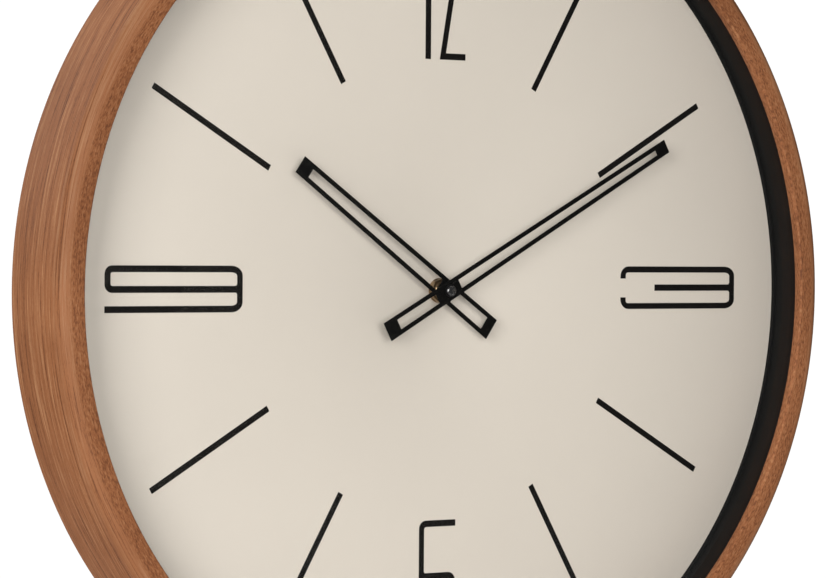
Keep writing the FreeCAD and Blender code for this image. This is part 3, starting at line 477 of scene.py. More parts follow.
class Finish:
    """One named procedural finish round a Principled shader."""

    def __init__(self, name, **sockets):
        self.material = bpy.data.materials.new(name)
        self.material.use_nodes = True
        self.tree = self.material.node_tree
        self.shader = self.tree.nodes["Principled BSDF"]
        self.set(**sockets)
        self.place = self.node("TexCoord", output="Object")

    def feed(self, socket, value):
        if isinstance(value, Value):
            self.tree.links.new(value.socket, socket)
        else:
            socket.default_value = value

    def set(self, **sockets):
        for name, value in sockets.items():
            self.feed(self.shader.inputs[name.replace("_", " ")], value)

    def node(self, kind, settings=None, sockets=None, output=0):
        """Adds a node: its type, its settings first, then the values or links of its sockets."""
        made = self.tree.nodes.new(f"ShaderNode{kind}")
        for name, value in (settings or {}).items():
            if name == "stops":
                ramp = made.color_ramp
                while len(ramp.elements) < len(value):
                    ramp.elements.new(1.0)
                for element, (position, shade) in zip(ramp.elements, value):
                    element.position, element.color = position, (*shade, 1.0)
            else:
                setattr(made, name, value)
        for name, value in (sockets or {}).items():
            self.feed(made.inputs[name], value)
        return Value(self, made.outputs[output])

    def parts(self, centre=(0, 0, 0)):
        """x, y and z of the piece's own place, counted from a centre."""
        moved = self.node("Mapping", {}, {"Vector": self.place,
                                          "Location": tuple(-value for value in centre)})
        split = self.node("SeparateXYZ", {}, {"Vector": moved})
        sockets = split.socket.node.outputs
        return [Value(self, socket) for socket in sockets]

    def from_axis(self):
        """Distance from the clock's axis."""
        x, _, z = self.parts(CENTRE)
        return (x * x + z * z).root()

    def vector(self, x, y, z):
        return self.node("CombineXYZ", {}, {"X": x, "Y": y, "Z": z})

    def noise(self, vector, scale=1.0, detail=3.0, roughness=0.5):
        return self.node("TexNoise", {}, {"Vector": vector, "Scale": scale, "Detail": detail,
                                          "Roughness": roughness})

    def stretched(self, across):
        """The piece's place with its axes scaled, for grain that runs one way."""
        return self.node("Mapping", {}, {"Vector": self.place, "Scale": across})

    def ramp(self, value, *stops):
        return self.node("ValToRGB", {"stops": stops}, {"Fac": value})

    def span(self, value, low, high, to_low=0.0, to_high=1.0):
        """A smooth step of value from low to high."""
        return self.node("MapRange", {"interpolation_type": "SMOOTHSTEP"}, {
            "Value": value, "From Min": low, "From Max": high, "To Min": to_low,
            "To Max": to_high})

    def mix(self, factor, first, second, blend="MIX"):
        return self.node("Mix", {"data_type": "RGBA", "blend_type": blend},
                         {0: factor, 6: first, 7: second}, output=2)

    def bump(self, height, distance, strength=1.0):
        self.set(Normal=self.node("Bump", {}, {"Height": height, "Distance": distance,
                                               "Strength": strength}))


def opaque(shade, strength=1.0):
    """A colour with its alpha, made lighter or darker."""
    return (*(min(1.0, value * strength) for value in shade), 1.0)


def darker(shade, share):
    return tuple(value * share for value in shade)


def walnut(colours):
    """Lacquered walnut veneer whose grain runs round the hoop, with a painted sheen on the
    rounding of its front edge.
    """
    lip_from, lip_full = 0.1968, 0.1938
    # Heights and radii of the band of painted sheen on the rounding of the front edge.
    sheen_back, sheen_front, sheen_inner, sheen_outer = -0.0150, -0.0205, 0.1935, 0.1975
    finish = Finish("walnut_veneer", Specular_IOR_Level=0.11)
    x, y, z = finish.parts(CENTRE)
    radius = (x * x + z * z).root()
    bend = finish.noise(finish.vector(x, y, z), 7.0, 2.0)
    across = y + radius + bend * 0.008

    def grain(along, wide, detail, roughness):
        return finish.noise(finish.vector(x * along, across * wide, z * along), 1.0, detail,
                            roughness)

    broad, fine = grain(4.0, 210.0, 4.0, 0.62), grain(14.0, 820.0, 4.0, 0.68)
    hair, fleck = grain(60.0, 2100.0, 2.0, 0.5), grain(520.0, 1700.0, 3.0, 0.6)
    cloud = finish.noise(finish.vector(x, y, z), 14.0, 3.0, 0.5)
    lip = finish.span(radius, lip_from, lip_full)
    # Mask of the painted sheen: the rounding of the front edge, where the lamps catch it.
    edge = finish.span(y, sheen_back, sheen_front) * finish.span(radius, sheen_inner, sheen_outer)
    figure = broad * 0.30 + fine * 0.42 + hair * 0.28
    side = finish.ramp(figure + (fleck - 0.5) * 0.16,
                       (0.40, colours.wood_dark), (0.48, colours.wood_mid),
                       (0.52, colours.wood_mid), (0.62, colours.wood_pale))
    front = finish.ramp(figure * 0.35 + fleck * 0.65, (0.40, colours.lip_dark),
                        (0.49, colours.lip_mid), (0.52, colours.lip_mid),
                        (0.60, colours.lip_pale))
    ground = finish.mix(lip, side, front)
    # Painted sheen: a paler, greyer colour mixed in over the rounding of the front edge,
    # standing for the highlight there.
    ground = finish.mix(edge * finish.span(figure, 0.42, 0.60, 0.12, 0.55), ground,
                        opaque(colours.wood_edge_sheen))
    pore = finish.span(fleck, 0.58, 0.70)
    ground = finish.mix(pore * (0.34 - lip * 0.24), ground, opaque(colours.wood_dark, 0.8))
    ground = finish.mix(finish.span(cloud, 0.35, 0.65, 0.0, 0.20), ground,
                        opaque(colours.wood_dark, 1.3), "MULTIPLY")
    finish.set(Base_Color=ground, Roughness=0.50 + fine * 0.20)
    finish.bump(fine * 0.4 + hair * 0.3 + fleck * 0.3, 0.00012, 0.5)
    return finish.material


def dial_paint(colours):
    """Ivory silk paint with a faint spray texture."""
    finish = Finish("dial_ivory", Specular_IOR_Level=0.35)
    speck = finish.noise(finish.place, 2600.0, 2.0)
    wash = finish.noise(finish.place, 11.0, 3.0)
    ground = finish.ramp(speck * 0.35 + wash * 0.65,
                         (0.30, darker(colours.dial, 0.965)), (0.70, colours.dial))
    finish.set(Base_Color=ground, Roughness=0.50 + speck * 0.12)
    finish.bump(speck, 0.00002, 0.5)
    return finish.material


def plastic(name, shade, roughness=0.45, texture=900.0, depth=0.00004, spread=0.16, **sockets):
    """Moulded plastic with a fine spark-eroded texture and slight flow marks."""
    finish = Finish(name, **sockets)
    grain = finish.noise(finish.place, texture, 3.0)
    flow = finish.noise(finish.stretched((40.0, 90.0, 60.0)), 1.0, 4.0)
    ground = finish.ramp(grain * 0.5 + flow * 0.5, (0.30, darker(shade, 1 - spread)),
                         (0.70, tuple(min(1.0, value * (1 + spread)) for value in shade)))
    finish.set(Base_Color=ground, Roughness=roughness - 0.06 + grain * 0.12)
    finish.bump(grain, depth, 0.6)
    return finish.material


def cap_gloss(radius):
    """Black moulding, polished on the crown of its dome and duller towards its rim."""
    finish = Finish("cap_black", Specular_IOR_Level=0.12, Coat_Roughness=0.03, Coat_IOR=2.4)
    swirl = finish.noise(finish.place, 900.0, 3.0)
    ground = finish.ramp(swirl, (0.30, (0.004, 0.004, 0.005)), (0.70, (0.008, 0.008, 0.009)))
    finish.set(Base_Color=ground, Roughness=0.30 + swirl * 0.10,
               Coat_Weight=finish.span(finish.from_axis(), radius * 0.66, radius * 0.94,
                                       1.0, 0.0))
    finish.bump(swirl, 0.000003, 0.5)
    return finish.material


def metal(name, shade, roughness, grain=(900.0, 900.0, 40.0)):
    """Metal with drawn lines one way, faint tarnish clouds and wear in its gloss."""
    depth, tarnish = 0.00001, 0.2
    finish = Finish(name, Metallic=1.0)
    lines = finish.noise(finish.stretched(grain), 1.0, 3.0)
    cloud = finish.noise(finish.place, 130.0, 4.0, 0.6)
    ground = finish.ramp(cloud * 0.7 + lines * 0.3, (0.30, darker(shade, 1 - tarnish)),
                         (0.65, shade))
    finish.set(Base_Color=ground, Roughness=roughness - 0.08 + cloud * 0.10 + lines * 0.08)
    finish.bump(lines, depth, 0.7)
    return finish.material


def turned_metal(name, shade, roughness):
    """Metal with the fine rings a lathe leaves round the clock's axis."""
    pitch, depth, tarnish = 0.00022, 0.000004, 0.35
    finish = Finish(name, Metallic=1.0)
    rings = (finish.from_axis() * (2 * math.pi / pitch)).sine() * 0.5 + 0.5
    cloud = finish.noise(finish.place, 260.0, 4.0, 0.6)
    ground = finish.ramp(cloud, (0.30, darker(shade, 1 - tarnish)), (0.66, shade))
    finish.set(Base_Color=ground, Roughness=roughness - 0.06 + cloud * 0.12)
    finish.bump(rings * 0.6 + cloud * 0.4, depth, 0.6)
    return finish.material


def zinc(colours):
    """Zinc plate over steel: soft crystal patches with a faint blue cast."""
    finish = Finish("zinc_steel", Metallic=1.0)
    patch = finish.node("TexVoronoi", {"feature": "SMOOTH_F1"},
                        {"Vector": finish.place, "Scale": 420.0, "Smoothness": 0.6},
                        output="Color")
    patch = finish.node("SeparateColor", {}, {"Color": patch})
    rub = finish.noise(finish.stretched((900.0, 120.0, 120.0)), 1.0, 3.0)
    ground = finish.ramp(patch * 0.5 + rub * 0.5, (0.25, darker(colours.steel, 0.72)),
                         (0.60, colours.steel), (0.85, darker(colours.steel, 1.18)))
    finish.set(Base_Color=ground, Roughness=0.26 + rub * 0.16)
    finish.bump(patch * 0.4 + rub * 0.6, 0.00001, 0.5)
    return finish.material


def fibreboard(colours):
    """Pressed fibreboard: matted short fibres with darker flecks."""
    finish = Finish("fibreboard", Specular_IOR_Level=0.2)
    fibre = finish.noise(finish.stretched((500.0, 500.0, 170.0)), 1.0, 5.0, 0.7)
    cross = finish.noise(finish.stretched((160.0, 500.0, 520.0)), 1.0, 5.0, 0.7)
    fleck = finish.noise(finish.place, 700.0, 2.0)
    weave = fibre * 0.5 + cross * 0.5
    ground = finish.ramp(weave, (0.30, darker(colours.board, 0.55)), (0.50, colours.board),
                         (0.72, darker(colours.board, 1.7)))
    ground = finish.mix(finish.span(fleck, 0.62, 0.74, 0.0, 0.6), ground,
                        opaque(colours.board, 0.35))
    finish.set(Base_Color=ground, Roughness=0.78 + weave * 0.15)
    finish.bump(weave, 0.0002, 0.7)
    return finish.material


def clear_glass():
    """Clear flat glass that only shows by its reflection."""
    finish = Finish("clear_glass", Base_Color=(0.96, 0.98, 0.97, 1.0), Metallic=1.0)
    glance = finish.node("Fresnel", {}, {"IOR": 1.5})
    smear = finish.noise(finish.place, 16.0, 4.0)
    finish.set(Alpha=glance * 0.25, Roughness=0.015 + smear * 0.03)
    return finish.material


def battery_sleeve():
    """Printed sleeve with a pale band, and bare metal at both ends."""
    low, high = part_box("aa_battery")
    finish = Finish("battery_wrap", Coat_Weight=0.4)
    x, _, _ = finish.parts((low.x, 0, 0))
    share = x / (high.x - low.x)
    can, navy, amber, crimp = ((0.55, 0.55, 0.55), (0.02, 0.03, 0.05), (0.60, 0.28, 0.09),
                               (0.60, 0.60, 0.58))
    band = finish.ramp(share, (0.0, can), (0.025, navy), (0.66, navy), (0.67, amber),
                       (0.94, amber), (0.955, crimp))
    band.socket.node.color_ramp.interpolation = "CONSTANT"
    scuff = finish.noise(finish.stretched((60.0, 700.0, 700.0)), 1.0, 4.0)
    ground = finish.mix(finish.span(scuff, 0.55, 0.75, 0.0, 0.18), band, opaque(can))
    bare = 1 - finish.span(share, 0.02, 0.03) + finish.span(share, 0.945, 0.955)
    finish.set(Base_Color=ground, Metallic=bare * 0.5 + 0.35, Roughness=0.24 + scuff * 0.14)
    finish.bump(scuff, 0.000015, 0.5)
    return finish.material


def copper_coil():
    """Close-wound enamelled wire, with painted shade in the grooves between its turns."""
    finish = Finish("copper_wire", Metallic=1.0, Coat_Weight=0.5)
    pitch = 0.00016
    x, _, _ = finish.parts()
    turns = (x * (2 * math.pi / pitch) + finish.noise(finish.place, 600.0) * 1.5).sine()
    turns = turns * 0.5 + 0.5
    # Painted shade: the troughs between the turns get a much darker copper, the crests the
    # wire's own colour.
    ground = finish.ramp(turns, (0.0, (0.16, 0.045, 0.015)), (0.6, (0.62, 0.22, 0.08)))
    finish.set(Base_Color=ground, Roughness=0.36 - turns * 0.1)
    finish.bump(turns, 0.00004)
    return finish.material


def circuit_green():
    """Green solder mask over squared tracks, with bright pads."""
    finish = Finish("circuit_board", Coat_Weight=0.3)
    tracks = finish.node("TexBrick", {"offset": 0.37, "squash": 0.6}, {
        "Vector": finish.node("Mapping", {}, {"Vector": finish.place,
                                              "Rotation": (math.pi / 2, 0, 0)}),
        "Scale": 260.0, "Mortar Size": 0.06, "Color1": (0.010, 0.085, 0.030, 1.0),
        "Color2": (0.008, 0.065, 0.024, 1.0), "Mortar": (0.05, 0.24, 0.08, 1.0)})
    pad = finish.node("TexVoronoi", {}, {"Vector": finish.place, "Scale": 420.0})
    pads = 1 - finish.span(pad, 0.16, 0.20)
    ground = finish.mix(pads, tracks, (0.62, 0.60, 0.55, 1.0))
    finish.set(Base_Color=ground, Metallic=pads * 0.9, Roughness=0.42 - pads * 0.12)
    finish.bump(pads, 0.00004)
    return finish.material


# ---- pieces ----

class CLOCK_OT_hoop(bpy.types.Operator):
    """Add the bent-wood hoop with its turned-in lip"""

    bl_idname = "clock.hoop"
    bl_label = "Wooden Hoop"

    def execute(self, context):
        clock = context.scene.wall_clock
        case = clock.case
        outer, front, back = extent("case_hoop")
        lip_back, inner = front - case.lip_thick, outer - case.wall
        hoop = ring("hoop", case.steps, (lip_back, case.lip_inner), (front, case.lip_inner),
                    (front, outer), (back, outer), (back, inner), (lip_back, inner))
        round_rings(hoop, case.front_round, 10, (front, outer))
        round_rings(hoop, case.lip_round, 4, (front, case.lip_inner))
        round_rings(hoop, case.back_round, 4, (back, outer))
        round_rings(hoop, case.fine_round, 2, (lip_back, case.lip_inner), (back, inner))
        finished(shaded(hoop), walnut(clock.colours), node="case_hoop")
        return {"FINISHED"}


class CLOCK_OT_glass(bpy.types.Operator):
    """Add the flat front glass with its ground edge"""

    bl_idname = "clock.glass"
    bl_label = "Front Glass"

    def execute(self, context):
        case = context.scene.wall_clock.case
        radius, front, back = extent("front_glass")
        pane = ring("glass_pane", case.steps, (back, 0.0), (back, radius), (front, radius),
                    (front, 0.0))
        round_rings(pane, case.fine_round, 2, (back, radius), (front, radius))
        finished(shaded(pane), clear_glass(), node="front_glass")
        return {"FINISHED"}


class CLOCK_OT_ring(bpy.types.Operator):
    """Add the black ring between the glass and the dial"""

    bl_idname = "clock.ring"
    bl_label = "Spacer Ring"

    def execute(self, context):
        clock = context.scene.wall_clock
        case = clock.case
        outer, front, back = extent("spacer_ring")
        foot = back + case.foot_thick
        inner, sole = case.ring_inner, case.foot_inner
        wall = ring("spacer", case.steps, (back, sole), (foot, sole), (foot, inner),
                    (front, inner), (front, outer), (back, outer))
        round_rings(wall, case.fine_round, 3, (foot, sole), (front, inner))
        round_rings(wall, case.fine_round / 2, 2, (front, outer), (back, outer))
        finish = plastic("ring_black", clock.colours.ring, 0.60, 700.0, 0.00006,
                         Specular_IOR_Level=0.08)
        finished(shaded(wall), finish, node="spacer_ring")
        return {"FINISHED"}


class CLOCK_OT_dial(bpy.types.Operator):
    """Add the painted dial plate with its rolled edges"""

    bl_idname = "clock.dial"
    bl_label = "Dial Plate"

    def execute(self, context):
        clock = context.scene.wall_clock
        radius, front, back = extent("dial_plate")
        hole = clock.dial.hole
        sheet = ring("dial_sheet", clock.case.steps, (back, hole), (front, hole),
                     (front, radius), (back, radius))
        round_rings(sheet, clock.case.fine_round / 2, 2, (front, hole), (front, radius),
                    (back, radius))
        finished(shaded(sheet), dial_paint(clock.colours), node="dial_plate")
        return {"FINISHED"}


# Numerals: the outlines that are inked and the windows left open in them, in millimetres from
# the print's centre. A corner is (x, z), or (x, z, rounding along x, rounding along z).
NUMERALS = {
    "numeral_9": (
        [((-166.9, 9.44, 3.5, 3.5), (-100.6, 9.44, 5.5, 4.2), (-100.6, -10.06, 5.5, 4.2),
          (-166.9, -10.06), (-166.9, -7.28), (-103.3, -7.28, 3.0, 1.5),
          (-103.3, -1.83, 1.0, 1.0), (-166.9, -1.83, 3.5, 3.5))],
        [((-164.1, 6.67, 1.0, 1.0), (-103.3, 6.67, 3.0, 1.5), (-103.3, 1.0, 1.0, 1.0),
          (-164.1, 1.0, 1.0, 1.0))]),
    "numeral_3": (
        [((100.6, 4.2), (100.6, 9.7, 4.5, 4.5), (167.5, 9.7, 5.8, 4.2),
          (167.5, -9.6, 5.8, 4.2), (100.6, -9.6, 4.5, 4.5), (100.6, -4.33),
          (103.6, -4.33), (103.6, -6.94, 1.2, 1.2), (164.6, -6.94, 3.0, 1.5),
          (164.6, -1.39, 1.0, 1.0), (120.3, -1.39), (120.3, 1.5),
          (164.6, 1.5, 1.0, 1.0), (164.6, 6.94, 3.0, 1.5), (103.6, 6.94, 1.2, 1.2),
          (103.6, 4.2))],
        []),
    "numeral_6": (
        [((-9.6, -101.1, 3.6, 3.6), (9.7, -101.1), (9.7, -103.9),
          (-6.94, -103.9, 1.2, 1.2), (-6.94, -124.0, 0.8, 0.8), (9.7, -124.0, 3.8, 3.8),
          (9.7, -167.5, 4.2, 5.5), (-9.6, -167.5, 4.2, 5.5))],
        [((-6.94, -126.8, 1.0, 1.0), (6.94, -126.8, 1.0, 1.0), (6.94, -164.8, 1.5, 3.0),
          (-6.94, -164.8, 1.5, 3.0))]),
    "numeral_12": (
        [((-8.0, 99.4), (-5.11, 99.4), (-5.11, 167.2, 3.5, 3.5),
          (-13.4, 167.2), (-13.4, 164.4), (-8.0, 164.4, 1.0, 1.0)),
         ((-0.39, 99.4), (13.33, 99.4), (13.33, 102.2), (2.9, 102.2),
          (12.3, 156.5, 2.0, 8.0), (13.4, 161.0, 0.6, 2.0), (13.4, 167.2, 4.2, 4.2),
          (-0.39, 167.2, 4.2, 4.2), (-0.39, 160.4), (2.4, 160.4),
          (2.4, 164.4, 1.2, 1.2), (10.6, 164.4, 1.5, 1.5), (10.6, 161.0, 0.6, 2.0),
          (9.6, 157.0, 2.0, 8.0))],
        []),
}


class CLOCK_OT_print(bpy.types.Operator):
    """Add the print of the dial: eight hour bars and four numerals, as thin ink"""

    bl_idname = "clock.dial_print"
    bl_label = "Dial Print"

    def execute(self, context):
        clock = context.scene.wall_clock
        dial = clock.dial
        rise, low, high = dial.print_rise, -dial.ink / 4, dial.ink
        ink = plastic("print_black", clock.colours.ink, 0.60, 1600.0, 0.00001, 0.3,
                      Specular_IOR_Level=0.06)

        def shape(name, outline, back, front):
            points = [(x * MM, z * MM + rise) for x, z in rounded(*outline)]
            return plate(name, points, back, front)

        half = dial.bar_wide / 2
        bar = plate("bar", [(-half, dial.bar_inner + rise), (half, dial.bar_inner + rise),
                            (half, dial.bar_outer + rise), (-half, dial.bar_outer + rise)],
                    low, high)
        hub = at(0, rise)
        bars = [twisted(copied(bar, "bar"), math.radians(30 * hour), hub)
                for hour in (1, 2, 4, 5, 7, 8, 10, 11)]
        alone(bar)
        bpy.ops.object.delete()
        finished(joined("hour_bars", bars), ink)
        for name, (inked, windows) in NUMERALS.items():
            parts = [shape(name, outline, low, high) for outline in inked]
            for window in windows:
                combine(parts[0], "DIFFERENCE", shape("window", window, -MM, MM))
            finished(joined(name, parts), ink)
        return {"FINISHED"}


HAND_PARTS = ("angle", "tip", "tail", "tip_half", "tail_half", "slot_tip", "slot_tail",
              "web_tip", "web_tail", "bore")


def skeleton_hand(hands, kind):
    """A tapered plate with two long slots and a solid web between them, at its angle."""
    _, front, back = extent(f"{kind}_hand")
    (angle, tip, tail, tip_half, tail_half, slot_tip, slot_tail, web_tip, web_tail,
     bore) = (getattr(hands, f"{kind}_{part}") for part in HAND_PARTS)
    inner_tip, inner_tail = tip_half - hands.rail, tail_half - hands.rail
    blade = plate(f"{kind}_blade", [(-tail_half, -tail), (tail_half, -tail),
                                    (tip_half, tip), (-tip_half, tip)], back, front)
    slope = (inner_tail - inner_tip) / (slot_tip + slot_tail)
    beside_tip = inner_tip + slope * (slot_tip - web_tip)
    beside_tail = inner_tip + slope * (slot_tip + web_tail)
    combine(blade, "DIFFERENCE",
            plate("slot", [(-beside_tip, web_tip), (beside_tip, web_tip),
                           (inner_tip, slot_tip), (-inner_tip, slot_tip)],
                  back - MM, front + MM),
            plate("tail_slot", [(-inner_tail, -slot_tail), (inner_tail, -slot_tail),
                                (beside_tail, -web_tail), (-beside_tail, -web_tail)],
                  back - MM, front + MM))
    combine(blade, "DIFFERENCE", drum("bore", 0, 0, bore, back - MM, front + MM, 64))
    with editing(blade):
        bpy.ops.mesh.dissolve_limited(angle_limit=math.radians(1))
    soften(blade, hands.edge, 2, 50)
    return twisted(blade, angle)


class CLOCK_OT_hands(bpy.types.Operator):
    """Add the black skeleton hands"""

    bl_idname = "clock.hands"
    bl_label = "Hands"

    def execute(self, context):
        clock = context.scene.wall_clock
        lacquer = plastic("hand_black", clock.colours.hands, 0.45, 1500.0, 0.000012, 0.3,
                          Specular_IOR_Level=0.06)
        for kind in ("hour", "minute"):
            finished(skeleton_hand(clock.hands, kind), lacquer, f"{kind}_hand_group",
                     f"{kind}_hand")
        return {"FINISHED"}


class CLOCK_OT_cap(bpy.types.Operator):
    """Add the glossy domed cap nut in the middle of the hands"""

    bl_idname = "clock.cap"
    bl_label = "Cap Nut"

    def execute(self, context):
        radius, front, back = extent("cap_nut")
        side_share, shrink, fullness, steps = 0.36, 0.985, 0.8, 8
        side = (front - back) * side_share
        dome = front - back - side
        profile = [(back, 0.0), (back, radius * 0.97), (back + side * 0.15, radius)]
        for step in range(steps + 1):
            rise = math.pi / 2 * step / steps
            out = radius * shrink * math.cos(rise) ** fullness if step < steps else 0.0
            profile.append((back + side + dome * math.sin(rise) * shrink, out))
        cap = ring("cap", 64, *profile)
        finished(shaded(cap, 60), cap_gloss(radius), "minute_hand_group", "cap_nut")
        return {"FINISHED"}


class CLOCK_OT_centre_fixing(bpy.types.Operator):
    """Add the brass washer, hexagon nut and bush behind the hands, and give the rubber washer
    its finish
    """

    bl_idname = "clock.centre_fixing"
    bl_label = "Centre Fixing"

    def execute(self, context):
        clock = context.scene.wall_clock
        brass = turned_metal("brass", clock.colours.brass, 0.30)
        bush_radius, bush_bore, nut_turn = 0.0040, 0.00258, math.radians(12)
        radius, front, back = extent("brass_washer")
        washer = ring("washer", 96, (back, bush_radius), (front, bush_radius),
                      (front, radius), (back, radius))
        finished(soften(washer, 0.00012), brass, node="brass_washer")

        radius, front, back = extent("hex_nut")
        corner = clock.hands.nut_flats / math.sqrt(3)
        nut = twisted(drum("nut", 0, 0, corner, back, front, 6), nut_turn)
        combine(nut, "INTERSECT", drum("turning", 0, 0, radius, back - MM, front + MM, 96))
        combine(nut, "DIFFERENCE", drum("bore", 0, 0, bush_radius, back - MM, front + MM, 64))
        finished(soften(nut, 0.00022, 3, 25), brass, node="hex_nut")

        flange, front, back = extent("threaded_bush")
        shoulder, plain = back + 0.0003, 0.0008
        pitch, depth, chamfer, run_out = 0.0004, 0.00015, 0.0002, 0.0003
        thread = [(shoulder, flange), (shoulder, bush_radius)]
        crest = shoulder + plain
        while crest + pitch < front - run_out:
            thread += [(crest, bush_radius), (crest + pitch / 2, bush_radius - depth)]
            crest += pitch
        thread += [(crest, bush_radius), (front - chamfer, bush_radius),
                   (front, bush_radius - chamfer)]
        bush = ring("bush", 64, (back, bush_bore), (back, flange), *thread, (front, bush_bore))
        finished(shaded(bush, 30), brass, node="threaded_bush")
        repaint(plastic("rubber_black", (0.018, 0.018, 0.018), 0.75, 500.0, 0.00008),
                "rubber_washer")
        return {"FINISHED"}


class CLOCK_OT_back(bpy.types.Operator):
    """Add the backing board, the clips and the hanger with their screws"""

    bl_idname = "clock.back"
    bl_label = "Back Fittings"

    def execute(self, context):
        clock = context.scene.wall_clock
        board, steel = fibreboard(clock.colours), zinc(clock.colours)
        # node, name, rounding of the edges, its segments, finish
        for node, name, width, segments, finish in (
                ("backing_board", "board", 0.0003, 2, board),
                ("retaining_clips", "clips", 0.0003, 3, steel),
                ("hanger_bracket", "hanger", 0.0004, 3, steel),
                ("clip_screws", "board_screws", 0.0003, 3, steel),
                ("hanger_screws", "hanger_fixings", 0.0003, 3, steel)):
            finished(refined(node, name, width, segments), finish, node=node)
        return {"FINISHED"}


class CLOCK_OT_movement(bpy.types.Operator):
    """Add the shells of the movement, the setting knob and the battery contacts"""

    bl_idname = "clock.movement"
    bl_label = "Movement Case"

    def execute(self, context):
        clock = context.scene.wall_clock
        shell = plastic("shell_black", clock.colours.shell, 0.48, 800.0, 0.00006)
        knob = plastic("knob_plastic", (0.035, 0.035, 0.037), 0.4, 900.0, 0.00004)
        nickel = metal("contact_nickel", (0.64, 0.60, 0.53), 0.24, (60.0, 900.0, 900.0))
        # node, name, rounding of the edges, finish, body
        for node, name, width, finish, body in (
                ("movement_front_shell", "front_shell", 0.0004, shell, "root"),
                ("movement_back_shell", "back_shell", 0.0004, shell, "root"),
                ("setting_knob", "knob", 0.0001, knob, "setting_group"),
                ("positive_contact", "positive_leaf", 0.0001, nickel, "root"),
                ("negative_contact", "negative_leaf", 0.0001, nickel, "root")):
            finished(refined(node, name, width), finish, body, node)
        return {"FINISHED"}


class CLOCK_OT_battery(bpy.types.Operator):
    """Add the battery with its rolled ends and nub"""

    bl_idname = "clock.battery"
    bl_label = "Battery"

    def execute(self, context):
        low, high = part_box("aa_battery")
        centre = (low + high) / 2
        radius = (high.z - low.z) / 2
        nub, nub_radius, nub_round, roll = 0.0013, 0.00275, 0.0003, 0.0006
        well, rim, neck = radius * 0.62, radius * 0.72, radius * 0.56
        shoulder = high.x - nub
        corners = [(low.x + roll / 2, 0.0), (low.x + roll / 2, well), (low.x, rim),
                   (low.x, radius - roll), (low.x + roll, radius),
                   (shoulder - roll, radius), (shoulder, radius - roll), (shoulder, well),
                   (shoulder - roll / 2, neck), (shoulder - roll / 2, nub_radius),
                   (high.x - nub_round, nub_radius), (high.x, nub_radius - nub_round),
                   (high.x, 0.0)]
        profile = [Vector((x, centre.y, centre.z + r)) for x, r in corners]
        cell = turned("battery_cell", profile, 96, centre, (1, 0, 0))
        finished(shaded(cell, 30), battery_sleeve(), node="aa_battery")
        return {"FINISHED"}


class CLOCK_OT_works(bpy.types.Operator):
    """Finish the pieces inside the movement, which stay as the frame has them"""

    bl_idname = "clock.works"
    bl_label = "Works"

    def execute(self, context):
        clock = context.scene.wall_clock
        repaint(plastic("gear_plastic", (0.70, 0.68, 0.60), 0.34, 1100.0, 0.00001, 0.05,
                        Subsurface_Weight=0.1, Subsurface_Scale=0.001),
                "intermediate_wheel", "seconds_wheel", "third_wheel", "centre_wheel",
                "minute_wheel", "hour_wheel")
        repaint(plastic("bridge_plastic", (0.62, 0.62, 0.58), 0.42, 900.0, 0.00003, 0.06),
                "train_bridge")
        repaint(plastic("bobbin_plastic", (0.05, 0.05, 0.05), 0.45), "coil_bobbin")
        repaint(plastic("chip_epoxy", (0.010, 0.010, 0.011), 0.25, 500.0, 0.00003),
                "control_chip")
        repaint(metal("rotor_magnet", (0.10, 0.10, 0.11), 0.42, (300.0, 300.0, 300.0)),
                "rotor")
        repaint(metal("soft_iron", (0.34, 0.34, 0.36), 0.36, (60.0, 900.0, 900.0)),
                "stator_plate", "coil_core")
        repaint(metal("crystal_can", (0.70, 0.70, 0.71), 0.16, (80.0, 900.0, 900.0)),
                "quartz_crystal")
        repaint(metal("cannon_brass", clock.colours.brass, 0.2), "cannon_pinion")
        repaint(zinc(clock.colours), "bridge_screws")
        repaint(copper_coil(), "coil_winding")
        repaint(circuit_green(), "circuit_board")
        return {"FINISHED"}


# ---- stage ----

WARM, WHITE = (1.0, 0.985, 0.96), (1.0, 1.0, 1.0)

# name, azimuth and elevation in degrees, distance and size in metres, power in watts, colour
LAMPS = (("key_light", 20, 6, 3.2, 1.6, 51.0, WARM),
         ("wide_light", 53, 10, 3.2, 1.4, 64.0, WARM),
         ("side_light", 88, 20, 2.4, 1.2, 6.0, WARM),
         ("back_light_left", 150, 25, 2.6, 1.6, 22.0, WHITE),
         ("back_light_right", -150, 40, 2.6, 1.6, 16.0, WHITE))


def lamp(name, azimuth, elevation, distance, size, power, shade):
    """A square soft light that faces the clock's centre."""
    way = towards(math.radians(azimuth), math.radians(elevation))
    light = bpy.data.lights.new(name, "AREA")
    light.shape, light.size, light.energy, light.color = "SQUARE", size, power, shade
    holder = bpy.data.objects.new(name, light)
    holder.location = CENTRE + way * distance
    holder.rotation_euler = (-way).to_track_quat("-Z", "Y").to_euler()
    bpy.context.scene.collection.objects.link(holder)


